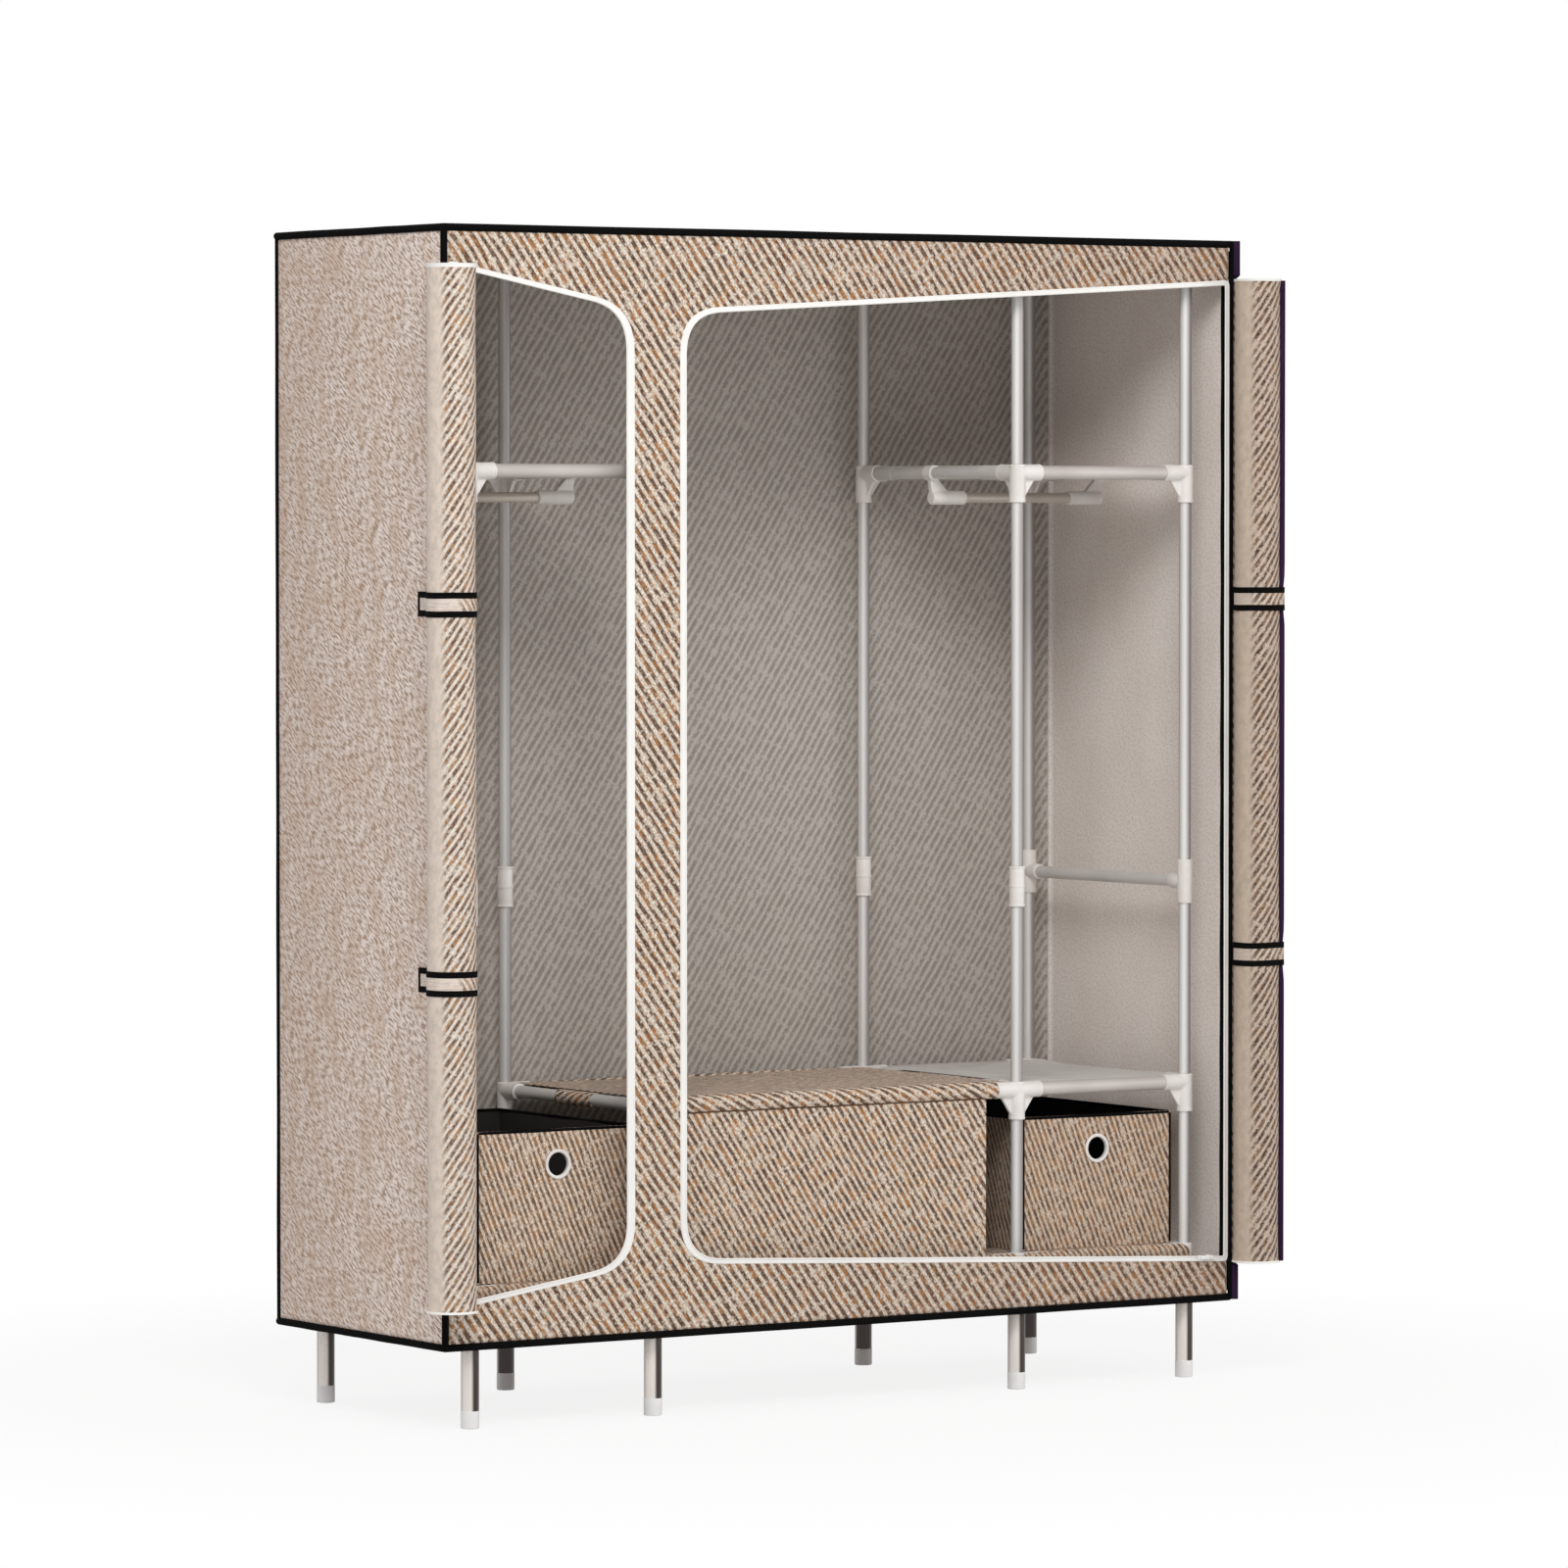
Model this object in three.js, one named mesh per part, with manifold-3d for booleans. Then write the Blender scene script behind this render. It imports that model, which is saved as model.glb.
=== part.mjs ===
// Portable fabric wardrobe: a frame of white steel tubes pushed into plastic
// connectors, a cloth cover with two doors rolled up and strapped at the front
// corners, cloth shelves, three hanging rods and two storage boxes.
// Millimetres, +Z up, -Y is the front. The middle of the footprint on the floor is the origin.
import * as THREE from 'three';
import { mergeVertices } from 'three/addons/utils/BufferGeometryUtils.js';
import Module from 'manifold-3d';

const wasm = await Module();
wasm.setup();

// General sizes
const OVERALL_HEIGHT = 1700;
const FIT = 0.3;
const OVERRUN = 5;
const FABRIC = 1.4;
const FACETS = 8;
const ROUND_FACETS = 12;
const CORNER_STEPS = 6;
const WEB_STEPS = 3;
const SLIDER_STEPS = 3;

// Cover
const COVER_WIDTH = 1376;
const COVER_DEPTH = 474;
const HEM_HEIGHT = 117;
const PIPING = 7;

// Door openings: how far each sloping top and bottom edge stays from the cover's top edge
// and from its hem, at the outer and at the inner side of the opening
const OPENING_SIDE = 16;
const OPENING_CORNER = 60;
const OPENING_OUTER_CORNER = 12;
const LEFT_DOOR = {
  side: -1, inner: 377, topOuter: 56, topInner: 114, bottomOuter: 62, bottomInner: 107,
};
const RIGHT_DOOR = {
  side: 1, inner: -288, topOuter: 62, topInner: 118, bottomOuter: 63, bottomInner: 108,
};

// Zips
const TAPE_THICKNESS = 1.2;
const TAPE_OUTWARD = 6;
const TAPE_INWARD = 2;
const SLIDER_LENGTH = 15;
const SLIDER_WIDTH = 9;
const SLIDER_THICKNESS = 4;
const SLIDER_INSET = 26;
const PULL_LENGTH = 24;
const PULL_WIDTH = 7;
const PULL_THICKNESS = 1.6;
const PULL_HOLE = 1.8;

// Rolled doors and their straps
const ROLL_RADIUS = 33;
const ROLL_CORE = 10.5;
const LEFT_ROLL_OUT = 7.5;
const RIGHT_ROLL_OUT = 21;
const ROLL_RISE = 49;
const ROLL_DROP = 55;
const LEFT_TURNS = 3;
const RIGHT_TURNS = 5;
const SEAM_INSET = 8;
const STRAP_WIDTH = 35;
const STRAP_HEIGHTS = [637, 1168];
const STRAP_BACK = 68;
const STRAP_LEAVES = 22;
const STRAP_END_ANGLE = THREE.MathUtils.degToRad(155);

// Tubes, posts and feet
const TUBE_RADIUS = 9.25;
const TUBE_WALL = 0.9;
const POST_INSET = 62;
const POST_SETBACK = 34;
const INNER_POST = 319;
const CAP_RADIUS = 11.6;
const CAP_TIP_RADIUS = 10.6;
const CAP_HEIGHT = 26;
const CAP_FLOOR = 4;
const LEG_RADIUS = 11.3;
const COUPLING_RADIUS = 11.5;
const COUPLING_HEIGHT = 60;

// Connectors
const CONNECTOR_RADIUS = 12.2;
const ARM_REACH = 40;
const SLEEVE_DROP = 44;
const CROWN = 3;
const WEB_THICKNESS = 6;
const WEB_REACH = 34;
const TEE_RADIUS = 11.8;
const TEE_HEIGHT = 66;
const TEE_REACH = 30;
const RAIL_END_GAP = 2;

// Levels of the rails
const TOP_LEVEL = OVERALL_HEIGHT - FABRIC - FIT - CONNECTOR_RADIUS;
const UPPER_DROP = 344;
const UPPER_LEVEL = OVERALL_HEIGHT - UPPER_DROP;
const MIDDLE_LEVEL = 745;
const LOWER_LEVEL = 444;
const BOTTOM_LEVEL = 190;

// Hanging rods
const ROD_RADIUS = 7.75;
const ROD_DROP = 37;
const SIDE_ROD_SETBACK = 20;
const BRACKET_RADIUS = 11.8;
const BRACKET_WIDTH = 20;
const BRACKET_PLAY = 0.5;
const SOCKET_RADIUS = 10.5;
const SOCKET_LENGTH = 60;
const SOCKET_BACK = 2;
const STRUT_THICKNESS = 9;
const STRUT_NECK = 5;

// Cloth shelves
const SLEEVE_LENGTH = 46;
const MIDDLE_SLEEVE = 96;
const HEM_WALL = 4.4;
const APRON_LEFT_GAP = 42;
const APRON_RIGHT_GAP = 62;
const APRON_BOTTOM = 150;

// Storage boxes
const BOX_SIDE_GAP = 18.5;
const BOX_DEPTH = 380;
const LEFT_BOX_DROP = 25;
const RIGHT_BOX_DROP = 43;
const BOX_WALL = 3;
const BOX_FRONT_GAP = 10;
const BINDING = 0.8;
const BINDING_WIDTH = 12;
const GROMMET_DROP = 51;
const GROMMET_RADIUS = 21.5;
const GROMMET_HOLE = 17;
const GROMMET_LIP = 1.6;

// Places worked out from the sizes above
const HALF_WIDTH = COVER_WIDTH / 2;
const HALF_DEPTH = COVER_DEPTH / 2;
const OUTER_POST = HALF_WIDTH - POST_INSET;
const POST_DEPTH = HALF_DEPTH - POST_SETBACK;
const OPENING_OUTER = HALF_WIDTH - OPENING_SIDE;
const SLIDER_PARK = OPENING_OUTER - SLIDER_INSET;
const ROLL_Y = -HALF_DEPTH - FIT - ROLL_RADIUS;
const ROLL_BOTTOM = HEM_HEIGHT + ROLL_RISE;
const ROLL_TOP = OVERALL_HEIGHT - ROLL_DROP;
const FRONT_REACH = -ROLL_Y + ROLL_RADIUS + FIT + FABRIC;
const SHEET_GAP = TUBE_RADIUS + FIT;
const BOTTOM_SHEET_TOP = BOTTOM_LEVEL + CONNECTOR_RADIUS;
const BOX_BOTTOM = BOTTOM_SHEET_TOP + FIT;

// Finishes
const linen = { color: 0xc6ab88, roughness: 0.95, metalness: 0 };
const paleLinen = { color: 0xcdb8a2, roughness: 0.95, metalness: 0 };
const greyCloth = { color: 0xb3aea6, roughness: 0.95, metalness: 0 };
const blackBinding = { color: 0x121212, roughness: 0.8, metalness: 0 };
const whiteTape = { color: 0xf2efe9, roughness: 0.7, metalness: 0 };
const whitePlastic = { color: 0xefefed, roughness: 0.45, metalness: 0 };
const paintedSteel = { color: 0xdededd, roughness: 0.35, metalness: 0.3 };

const wardrobe = new THREE.Group();
wardrobe.name = 'portable_fabric_wardrobe';
wardrobe.position.x = (LEFT_ROLL_OUT - RIGHT_ROLL_OUT) / 2;
wardrobe.position.y = (FRONT_REACH - HALF_DEPTH) / 2;

// Basic solids

function toSolid(geometry) {
  const bare = geometry.clone();
  bare.deleteAttribute('normal');
  bare.deleteAttribute('uv');
  const welded = mergeVertices(bare);
  const mesh = new wasm.Mesh({
    numProp: 3,
    vertProperties: new Float32Array(welded.attributes.position.array),
    triVerts: new Uint32Array(welded.index.array),
  });
  return new wasm.Manifold(mesh);
}

function toGeometry(solid) {
  const data = solid.getMesh();
  const geometry = new THREE.BufferGeometry();
  geometry.setAttribute('position', new THREE.BufferAttribute(data.vertProperties, 3));
  geometry.setIndex(new THREE.BufferAttribute(data.triVerts, 1));
  geometry.computeVertexNormals();
  return geometry;
}

const UNIT = {
  x: new THREE.Vector3(1, 0, 0),
  y: new THREE.Vector3(0, 1, 0),
  z: new THREE.Vector3(0, 0, 1),
};

// An outline drawn in YZ runs along X, one in XZ along Y and one in XY along Z.
const TURN = {
  x: new THREE.Matrix4().makeBasis(UNIT.y, UNIT.z, UNIT.x),
  y: new THREE.Matrix4().makeBasis(UNIT.x, UNIT.z, UNIT.y.clone().negate()),
  z: new THREE.Matrix4(),
};

function extrude(shape, axis, low, high, steps = CORNER_STEPS) {
  const settings = { depth: high - low, bevelEnabled: false, curveSegments: steps };
  const geometry = new THREE.ExtrudeGeometry(shape, settings);
  geometry.applyMatrix4(TURN[axis]);
  const start = UNIT[axis].clone().multiplyScalar(axis === 'y' ? high : low);
  geometry.translate(start.x, start.y, start.z);
  return toSolid(geometry);
}

function disc(radius, [a, b]) {
  const shape = new THREE.Shape();
  shape.absarc(a, b, radius, 0, 2 * Math.PI);
  return shape;
}

function rod(axis, from, to, radius, centre, facets = FACETS) {
  return extrude(disc(radius, centre), axis, Math.min(from, to), Math.max(from, to), facets / 2);
}

function block(x1, x2, y1, y2, z1, z2) {
  const geometry = new THREE.BoxGeometry(x2 - x1, y2 - y1, z2 - z1);
  geometry.translate((x1 + x2) / 2, (y1 + y2) / 2, (z1 + z2) / 2);
  return toSolid(geometry);
}

function join(solids) {
  return solids.reduce((sum, next) => sum.add(next));
}

function cut(solid, tools) {
  return tools.reduce((rest, next) => rest.subtract(next), solid);
}

function place(name, solid, finish) {
  const mesh = new THREE.Mesh(toGeometry(solid), new THREE.MeshStandardMaterial(finish));
  mesh.name = name;
  wardrobe.add(mesh);
  return mesh;
}

// A closed outline through the corners, each rounded over its own length.
function roundedOutline(corners, rounds) {
  const path = new THREE.Shape();
  corners.forEach((corner, i) => {
    const before = corners[(i + corners.length - 1) % corners.length];
    const after = corners[(i + 1) % corners.length];
    const start = before.clone().sub(corner).setLength(rounds[i]).add(corner);
    const end = after.clone().sub(corner).setLength(rounds[i]).add(corner);
    if (i === 0) {
      path.moveTo(start.x, start.y);
    } else {
      path.lineTo(start.x, start.y);
    }
    path.quadraticCurveTo(corner.x, corner.y, end.x, end.y);
  });
  path.closePath();
  return path;
}

// A band of even thickness along a line of points.
function bandOutline(points, thickness) {
  const left = [];
  const right = [];
  points.forEach((point, i) => {
    const before = points[Math.max(i - 1, 0)];
    const after = points[Math.min(i + 1, points.length - 1)];
    const along = after.clone().sub(before).normalize();
    const side = new THREE.Vector2(-along.y, along.x).multiplyScalar(thickness / 2);
    left.push(point.clone().add(side));
    right.push(point.clone().sub(side));
  });
  return new THREE.Shape([...left, ...right.reverse()]);
}

// Posts, each standing in a wider leg with a cap under it

function footCap(x, y) {
  const profile = [
    new THREE.Vector2(0, 0),
    new THREE.Vector2(CAP_TIP_RADIUS, 0),
    new THREE.Vector2(CAP_RADIUS, CAP_FLOOR),
    new THREE.Vector2(CAP_RADIUS, CAP_HEIGHT),
    new THREE.Vector2(0, CAP_HEIGHT),
  ];
  const geometry = new THREE.LatheGeometry(profile, FACETS);
  geometry.rotateX(Math.PI / 2);
  geometry.translate(x, y, 0);
  return toSolid(geometry);
}

function post(name, x, y, coupled) {
  const top = TOP_LEVEL + CONNECTOR_RADIUS - CROWN - FIT;
  const legTop = BOTTOM_LEVEL - SLEEVE_DROP - FIT;
  const parts = [
    footCap(x, y),
    rod('z', CAP_FLOOR, legTop, LEG_RADIUS, [x, y]),
    rod('z', CAP_FLOOR, top, TUBE_RADIUS, [x, y]),
  ];
  if (coupled) {
    const half = COUPLING_HEIGHT / 2;
    parts.push(rod('z', MIDDLE_LEVEL - half, MIDDLE_LEVEL + half, COUPLING_RADIUS, [x, y]));
  }
  const bore = rod('z', CAP_FLOOR, top + OVERRUN, TUBE_RADIUS - TUBE_WALL, [x, y]);
  place(name, cut(join(parts), [bore]), paintedSteel);
}

// Connectors and the rails along X that are pushed into them

function web(axis, sign, x, y, level) {
  const [a, across] = axis === 'x' ? [x, y] : [y, x];
  const shape = new THREE.Shape();
  shape.moveTo(a, level);
  shape.lineTo(a + sign * WEB_REACH, level);
  shape.lineTo(a + sign * WEB_REACH, level - CONNECTOR_RADIUS + FIT);
  shape.quadraticCurveTo(
    a + sign * CONNECTOR_RADIUS, level - CONNECTOR_RADIUS,
    a + sign * (CONNECTOR_RADIUS - FIT), level - SLEEVE_DROP + FIT,
  );
  shape.lineTo(a, level - SLEEVE_DROP + FIT);
  shape.closePath();
  const half = WEB_THICKNESS / 2;
  return extrude(shape, axis === 'x' ? 'y' : 'x', across - half, across + half, WEB_STEPS);
}

// The arms that carry shelves are stiffened by a web below.
function arm(axis, sign, x, y, level) {
  const from = axis === 'x' ? x : y;
  const centre = axis === 'x' ? [y, level] : [x, level];
  const tube = rod(axis, from, from + sign * ARM_REACH, CONNECTOR_RADIUS, centre);
  const carriesShelf = level === UPPER_LEVEL || level === LOWER_LEVEL;
  return carriesShelf ? tube.add(web(axis, sign, x, y, level)) : tube;
}

function railRun(name, level, posts, facing, depthPosts) {
  const y = -facing * POST_DEPTH;
  const first = posts[0];
  const last = posts[posts.length - 1];
  const isTop = level === TOP_LEVEL;
  const parts = [rod('x', first, last, TUBE_RADIUS, [y, level])];
  const bores = [];
  for (const x of posts) {
    parts.push(rod('z', level - SLEEVE_DROP, level + CONNECTOR_RADIUS, CONNECTOR_RADIUS, [x, y]));
    if (x > first) parts.push(arm('x', -1, x, y, level));
    if (x < last) parts.push(arm('x', 1, x, y, level));
    const boreTop = level + CONNECTOR_RADIUS + (isTop ? -CROWN : OVERRUN);
    bores.push(rod('z', level - SLEEVE_DROP - OVERRUN, boreTop, TUBE_RADIUS + FIT, [x, y]));
    if (depthPosts.includes(x)) {
      const end = y + facing * (ARM_REACH + OVERRUN);
      parts.push(arm('y', facing, x, y, level));
      bores.push(rod('y', y, end, TUBE_RADIUS + FIT, [x, level]));
    }
  }
  place(name, cut(join(parts), bores), whitePlastic);
}

function depthRail(name, x, level) {
  const end = POST_DEPTH - TUBE_RADIUS - RAIL_END_GAP;
  const outer = rod('y', -end, end, TUBE_RADIUS, [x, level]);
  const bore = rod('y', -end - OVERRUN, end + OVERRUN, TUBE_RADIUS - TUBE_WALL, [x, level]);
  place(name, cut(outer, [bore]), paintedSteel);
}

// The brace halfway up an outer pair of posts: a depth rail with a tee at each end.
function middleBrace(name, x) {
  const half = TEE_HEIGHT / 2;
  const parts = [rod('y', -POST_DEPTH, POST_DEPTH, TUBE_RADIUS, [x, MIDDLE_LEVEL])];
  const bores = [];
  for (const y of [-POST_DEPTH, POST_DEPTH]) {
    const inward = y - Math.sign(y) * TEE_REACH;
    const low = MIDDLE_LEVEL - half;
    const high = MIDDLE_LEVEL + half;
    parts.push(rod('z', low, high, TEE_RADIUS, [x, y]));
    parts.push(rod('y', y, inward, TEE_RADIUS, [x, MIDDLE_LEVEL]));
    bores.push(rod('z', low - OVERRUN, high + OVERRUN, TUBE_RADIUS + FIT, [x, y]));
  }
  place(name, cut(join(parts), bores), whitePlastic);
}

// Hanging rods: a ring rides on each depth rail, and a strut drops to the rod's socket.

function hangingRod(name, x1, x2, level, y) {
  const rodLevel = level - ROD_DROP;
  const low = x1 - SOCKET_BACK;
  const high = x2 + SOCKET_BACK;
  const halfRing = BRACKET_WIDTH / 2;
  const halfStrut = STRUT_THICKNESS / 2;
  const parts = [rod('x', low, high, ROD_RADIUS, [y, rodLevel])];
  const bores = [];
  for (const [x, inward] of [[x1, 1], [x2, -1]]) {
    const back = x - inward * SOCKET_BACK;
    const front = back + inward * SOCKET_LENGTH;
    const strut = new THREE.Shape();
    strut.moveTo(x - inward * STRUT_NECK, level - TUBE_RADIUS);
    strut.lineTo(x + inward * STRUT_NECK, level - TUBE_RADIUS);
    strut.quadraticCurveTo(x + inward * STRUT_NECK, rodLevel + ROD_RADIUS, front, rodLevel);
    strut.lineTo(back + inward * FIT, rodLevel);
    strut.closePath();
    parts.push(rod('y', y - halfRing, y + halfRing, BRACKET_RADIUS, [x, level]));
    parts.push(extrude(strut, 'y', y - halfStrut, y + halfStrut, WEB_STEPS));
    parts.push(rod('x', back, front, SOCKET_RADIUS, [y, rodLevel]));
    const ring = TUBE_RADIUS + BRACKET_PLAY;
    bores.push(rod('y', y - halfRing - OVERRUN, y + halfRing + OVERRUN, ring, [x, level]));
  }
  place(name, cut(join(parts), bores), whitePlastic);
}

// Cover

function edgePosition(door, edge, x) {
  const outer = door.side * OPENING_OUTER;
  const inner = door.side * door.inner;
  const share = (x - inner) / (outer - inner);
  const distance = THREE.MathUtils.lerp(door[`${edge}Inner`], door[`${edge}Outer`], share);
  return edge === 'top' ? OVERALL_HEIGHT - distance : HEM_HEIGHT + distance;
}

function doorOutline(door, grow) {
  const outer = door.side * (OPENING_OUTER + grow);
  const inner = door.side * (door.inner - grow);
  const corners = [
    new THREE.Vector2(outer, edgePosition(door, 'top', outer) + grow),
    new THREE.Vector2(inner, edgePosition(door, 'top', inner) + grow),
    new THREE.Vector2(inner, edgePosition(door, 'bottom', inner) - grow),
    new THREE.Vector2(outer, edgePosition(door, 'bottom', outer) - grow),
  ];
  if (door.side < 0) corners.reverse();
  const small = OPENING_OUTER_CORNER + grow;
  const large = OPENING_CORNER + grow;
  return roundedOutline(corners, [small, large, large, small]);
}

function frontPanel() {
  const x = HALF_WIDTH - PIPING - FIT;
  const low = HEM_HEIGHT + PIPING + FIT;
  const high = OVERALL_HEIGHT - PIPING - FIT;
  const shape = new THREE.Shape([
    new THREE.Vector2(-x, low),
    new THREE.Vector2(x, low),
    new THREE.Vector2(x, high),
    new THREE.Vector2(-x, high),
  ]);
  shape.holes.push(doorOutline(LEFT_DOOR, 0), doorOutline(RIGHT_DOOR, 0));
  place('cover_front', extrude(shape, 'y', -HALF_DEPTH, -HALF_DEPTH + FABRIC), linen);
}

function plainPanels() {
  const x = HALF_WIDTH - PIPING - FIT;
  const y = HALF_DEPTH - PIPING - FIT;
  const low = HEM_HEIGHT + PIPING + FIT;
  const high = OVERALL_HEIGHT - PIPING - FIT;
  const roof = OVERALL_HEIGHT - FABRIC;
  place('cover_back', block(-x, x, HALF_DEPTH - FABRIC, HALF_DEPTH, low, high), paleLinen);
  place('cover_side_left', block(-HALF_WIDTH, FABRIC - HALF_WIDTH, -y, y, low, high), paleLinen);
  place('cover_side_right', block(HALF_WIDTH - FABRIC, HALF_WIDTH, -y, y, low, high), paleLinen);
  place('cover_top', block(-x, x, -y, y, roof, OVERALL_HEIGHT), linen);
}

function edgePiping() {
  const strip = (end) => (end > 0 ? [end - PIPING, end] : [end, end + PIPING]);
  const bars = [];
  for (const z of [[HEM_HEIGHT, HEM_HEIGHT + PIPING], strip(OVERALL_HEIGHT)]) {
    for (const y of [-HALF_DEPTH, HALF_DEPTH]) {
      bars.push(block(-HALF_WIDTH, HALF_WIDTH, ...strip(y), ...z));
    }
    for (const x of [-HALF_WIDTH, HALF_WIDTH]) {
      bars.push(block(...strip(x), -HALF_DEPTH, HALF_DEPTH, ...z));
    }
  }
  for (const x of [-HALF_WIDTH, HALF_WIDTH]) {
    for (const y of [-HALF_DEPTH, HALF_DEPTH]) {
      bars.push(block(...strip(x), ...strip(y), HEM_HEIGHT, OVERALL_HEIGHT));
    }
  }
  place('cover_piping', join(bars), blackBinding);
}

function zipTape(name, door) {
  const shape = doorOutline(door, TAPE_OUTWARD);
  shape.holes.push(doorOutline(door, -TAPE_INWARD));
  const back = -HALF_DEPTH - FIT;
  place(name, extrude(shape, 'y', back - TAPE_THICKNESS, back), whiteTape);
}

function zipSlider(name, door) {
  const halfLength = SLIDER_LENGTH / 2;
  const halfWidth = SLIDER_WIDTH / 2;
  const neck = SLIDER_WIDTH / 3;
  const body = roundedOutline([
    new THREE.Vector2(-halfLength, -halfWidth),
    new THREE.Vector2(halfLength, -neck),
    new THREE.Vector2(halfLength, neck),
    new THREE.Vector2(-halfLength, halfWidth),
  ], [neck, neck / 2, neck / 2, neck]);
  const pull = roundedOutline([
    new THREE.Vector2(-PULL_WIDTH / 2, -PULL_LENGTH),
    new THREE.Vector2(PULL_WIDTH / 2, -PULL_LENGTH),
    new THREE.Vector2(PULL_WIDTH / 3, neck),
    new THREE.Vector2(-PULL_WIDTH / 3, neck),
  ], [PULL_WIDTH / 3, PULL_WIDTH / 3, PULL_WIDTH / 4, PULL_WIDTH / 4]);
  pull.holes.push(disc(PULL_HOLE, [0, PULL_WIDTH / 2 - PULL_LENGTH]));
  const front = -SLIDER_THICKNESS;
  const solid = join([
    extrude(body, 'y', front, 0, SLIDER_STEPS),
    extrude(pull, 'y', front - PULL_THICKNESS, front, SLIDER_STEPS),
  ]);
  const mesh = place(name, solid, whiteTape);
  const parked = door.side * SLIDER_PARK;
  const ahead = parked - door.side;
  const rise = edgePosition(door, 'bottom', ahead) - edgePosition(door, 'bottom', parked);
  mesh.rotation.y = -Math.atan2(rise, ahead - parked) + (door.side > 0 ? Math.PI : 0);
  const y = -HALF_DEPTH - FIT - TAPE_THICKNESS - FIT;
  mesh.position.set(parked, y, edgePosition(door, 'bottom', parked));
}

// Rolled doors

function doorRoll(name, side, rollOut, turns) {
  const mean = ROLL_RADIUS - FABRIC / 2;
  const pitch = (mean - ROLL_CORE) / turns;
  const x = side * (HALF_WIDTH + rollOut);
  const seam = side * (HALF_WIDTH - SEAM_INSET);
  const points = [new THREE.Vector2(seam, ROLL_Y + mean)];
  const steps = turns * ROUND_FACETS;
  for (let i = 0; i <= steps; i += 1) {
    const turned = i / ROUND_FACETS;
    const angle = Math.PI / 2 - side * turned * 2 * Math.PI;
    const radius = mean - turned * pitch;
    points.push(new THREE.Vector2(x + radius * Math.cos(angle), ROLL_Y + radius * Math.sin(angle)));
  }
  place(name, extrude(bandOutline(points, FABRIC), 'z', ROLL_BOTTOM, ROLL_TOP), linen);
}

function strap(name, side, rollOut, height) {
  const radius = ROLL_RADIUS + FIT + FABRIC / 2;
  const panel = HALF_WIDTH + FIT + FABRIC / 2;
  const rollX = HALF_WIDTH + rollOut;
  const leave = new THREE.Vector2(panel - rollX, STRAP_LEAVES - HALF_DEPTH - ROLL_Y);
  const start = leave.angle() - Math.acos(radius / leave.length());
  const sweep = start + 2 * Math.PI - STRAP_END_ANGLE;
  const points = [
    new THREE.Vector2(side * panel, STRAP_BACK - HALF_DEPTH),
    new THREE.Vector2(side * panel, STRAP_LEAVES - HALF_DEPTH),
  ];
  for (let i = 0; i <= ROUND_FACETS; i += 1) {
    const angle = start - (sweep * i) / ROUND_FACETS;
    const out = rollX + radius * Math.cos(angle);
    points.push(new THREE.Vector2(side * out, ROLL_Y + radius * Math.sin(angle)));
  }
  const half = STRAP_WIDTH / 2;
  place(name, extrude(bandOutline(points, FABRIC), 'z', height - half, height + half), linen);
}

// Cloth shelves

function sleeve(axis, low, high, wall, centre) {
  const outer = rod(axis, low, high, SHEET_GAP + wall, centre);
  return cut(outer, [rod(axis, low - OVERRUN, high + OVERRUN, SHEET_GAP, centre)]);
}

// A sheet between two depth rails, held by short sleeves at both ends of each rail.
function sideShelf(name, x1, x2, level) {
  const bottom = level + SHEET_GAP;
  const top = bottom + FABRIC;
  const inset = CONNECTOR_RADIUS + 2 * FIT;
  const y = POST_DEPTH - CONNECTOR_RADIUS - FIT;
  const far = POST_DEPTH - ARM_REACH - 2 * FIT;
  const near = far - SLEEVE_LENGTH;
  const parts = [block(x1 + inset, x2 - inset, -y, y, bottom, top)];
  for (const [low, high] of [[-far, -near], [near, far]]) {
    parts.push(block(x1, x2, low, high, bottom, top));
    parts.push(sleeve('y', low, high, FABRIC, [x1, level]));
    parts.push(sleeve('y', low, high, FABRIC, [x2, level]));
  }
  place(name, join(parts), greyCloth);
}

// The middle shelf wraps the front rail in a thick hem, and its apron hangs in front.
function middleShelf(name) {
  const bottom = LOWER_LEVEL + SHEET_GAP;
  const top = bottom + FABRIC;
  const left = APRON_LEFT_GAP - INNER_POST;
  const right = INNER_POST - APRON_RIGHT_GAP;
  const half = MIDDLE_SLEEVE / 2;
  const inset = CONNECTOR_RADIUS + 2 * FIT;
  const y = POST_DEPTH - CONNECTOR_RADIUS - FIT;
  const front = -POST_DEPTH - SHEET_GAP - HEM_WALL;
  const parts = [
    block(left, right, -POST_DEPTH, POST_DEPTH, bottom, top),
    block(inset - INNER_POST, INNER_POST - inset, -y, y, bottom, top),
    block(-INNER_POST, INNER_POST, -half, half, bottom, top),
    block(left, right, front, front + FABRIC, APRON_BOTTOM, LOWER_LEVEL),
    sleeve('y', -half, half, FABRIC, [-INNER_POST, LOWER_LEVEL]),
    sleeve('y', -half, half, FABRIC, [INNER_POST, LOWER_LEVEL]),
    sleeve('x', left, right, HEM_WALL, [-POST_DEPTH, LOWER_LEVEL]),
    sleeve('x', left, right, FABRIC, [POST_DEPTH, LOWER_LEVEL]),
  ];
  place(name, join(parts), linen);
}

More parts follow.
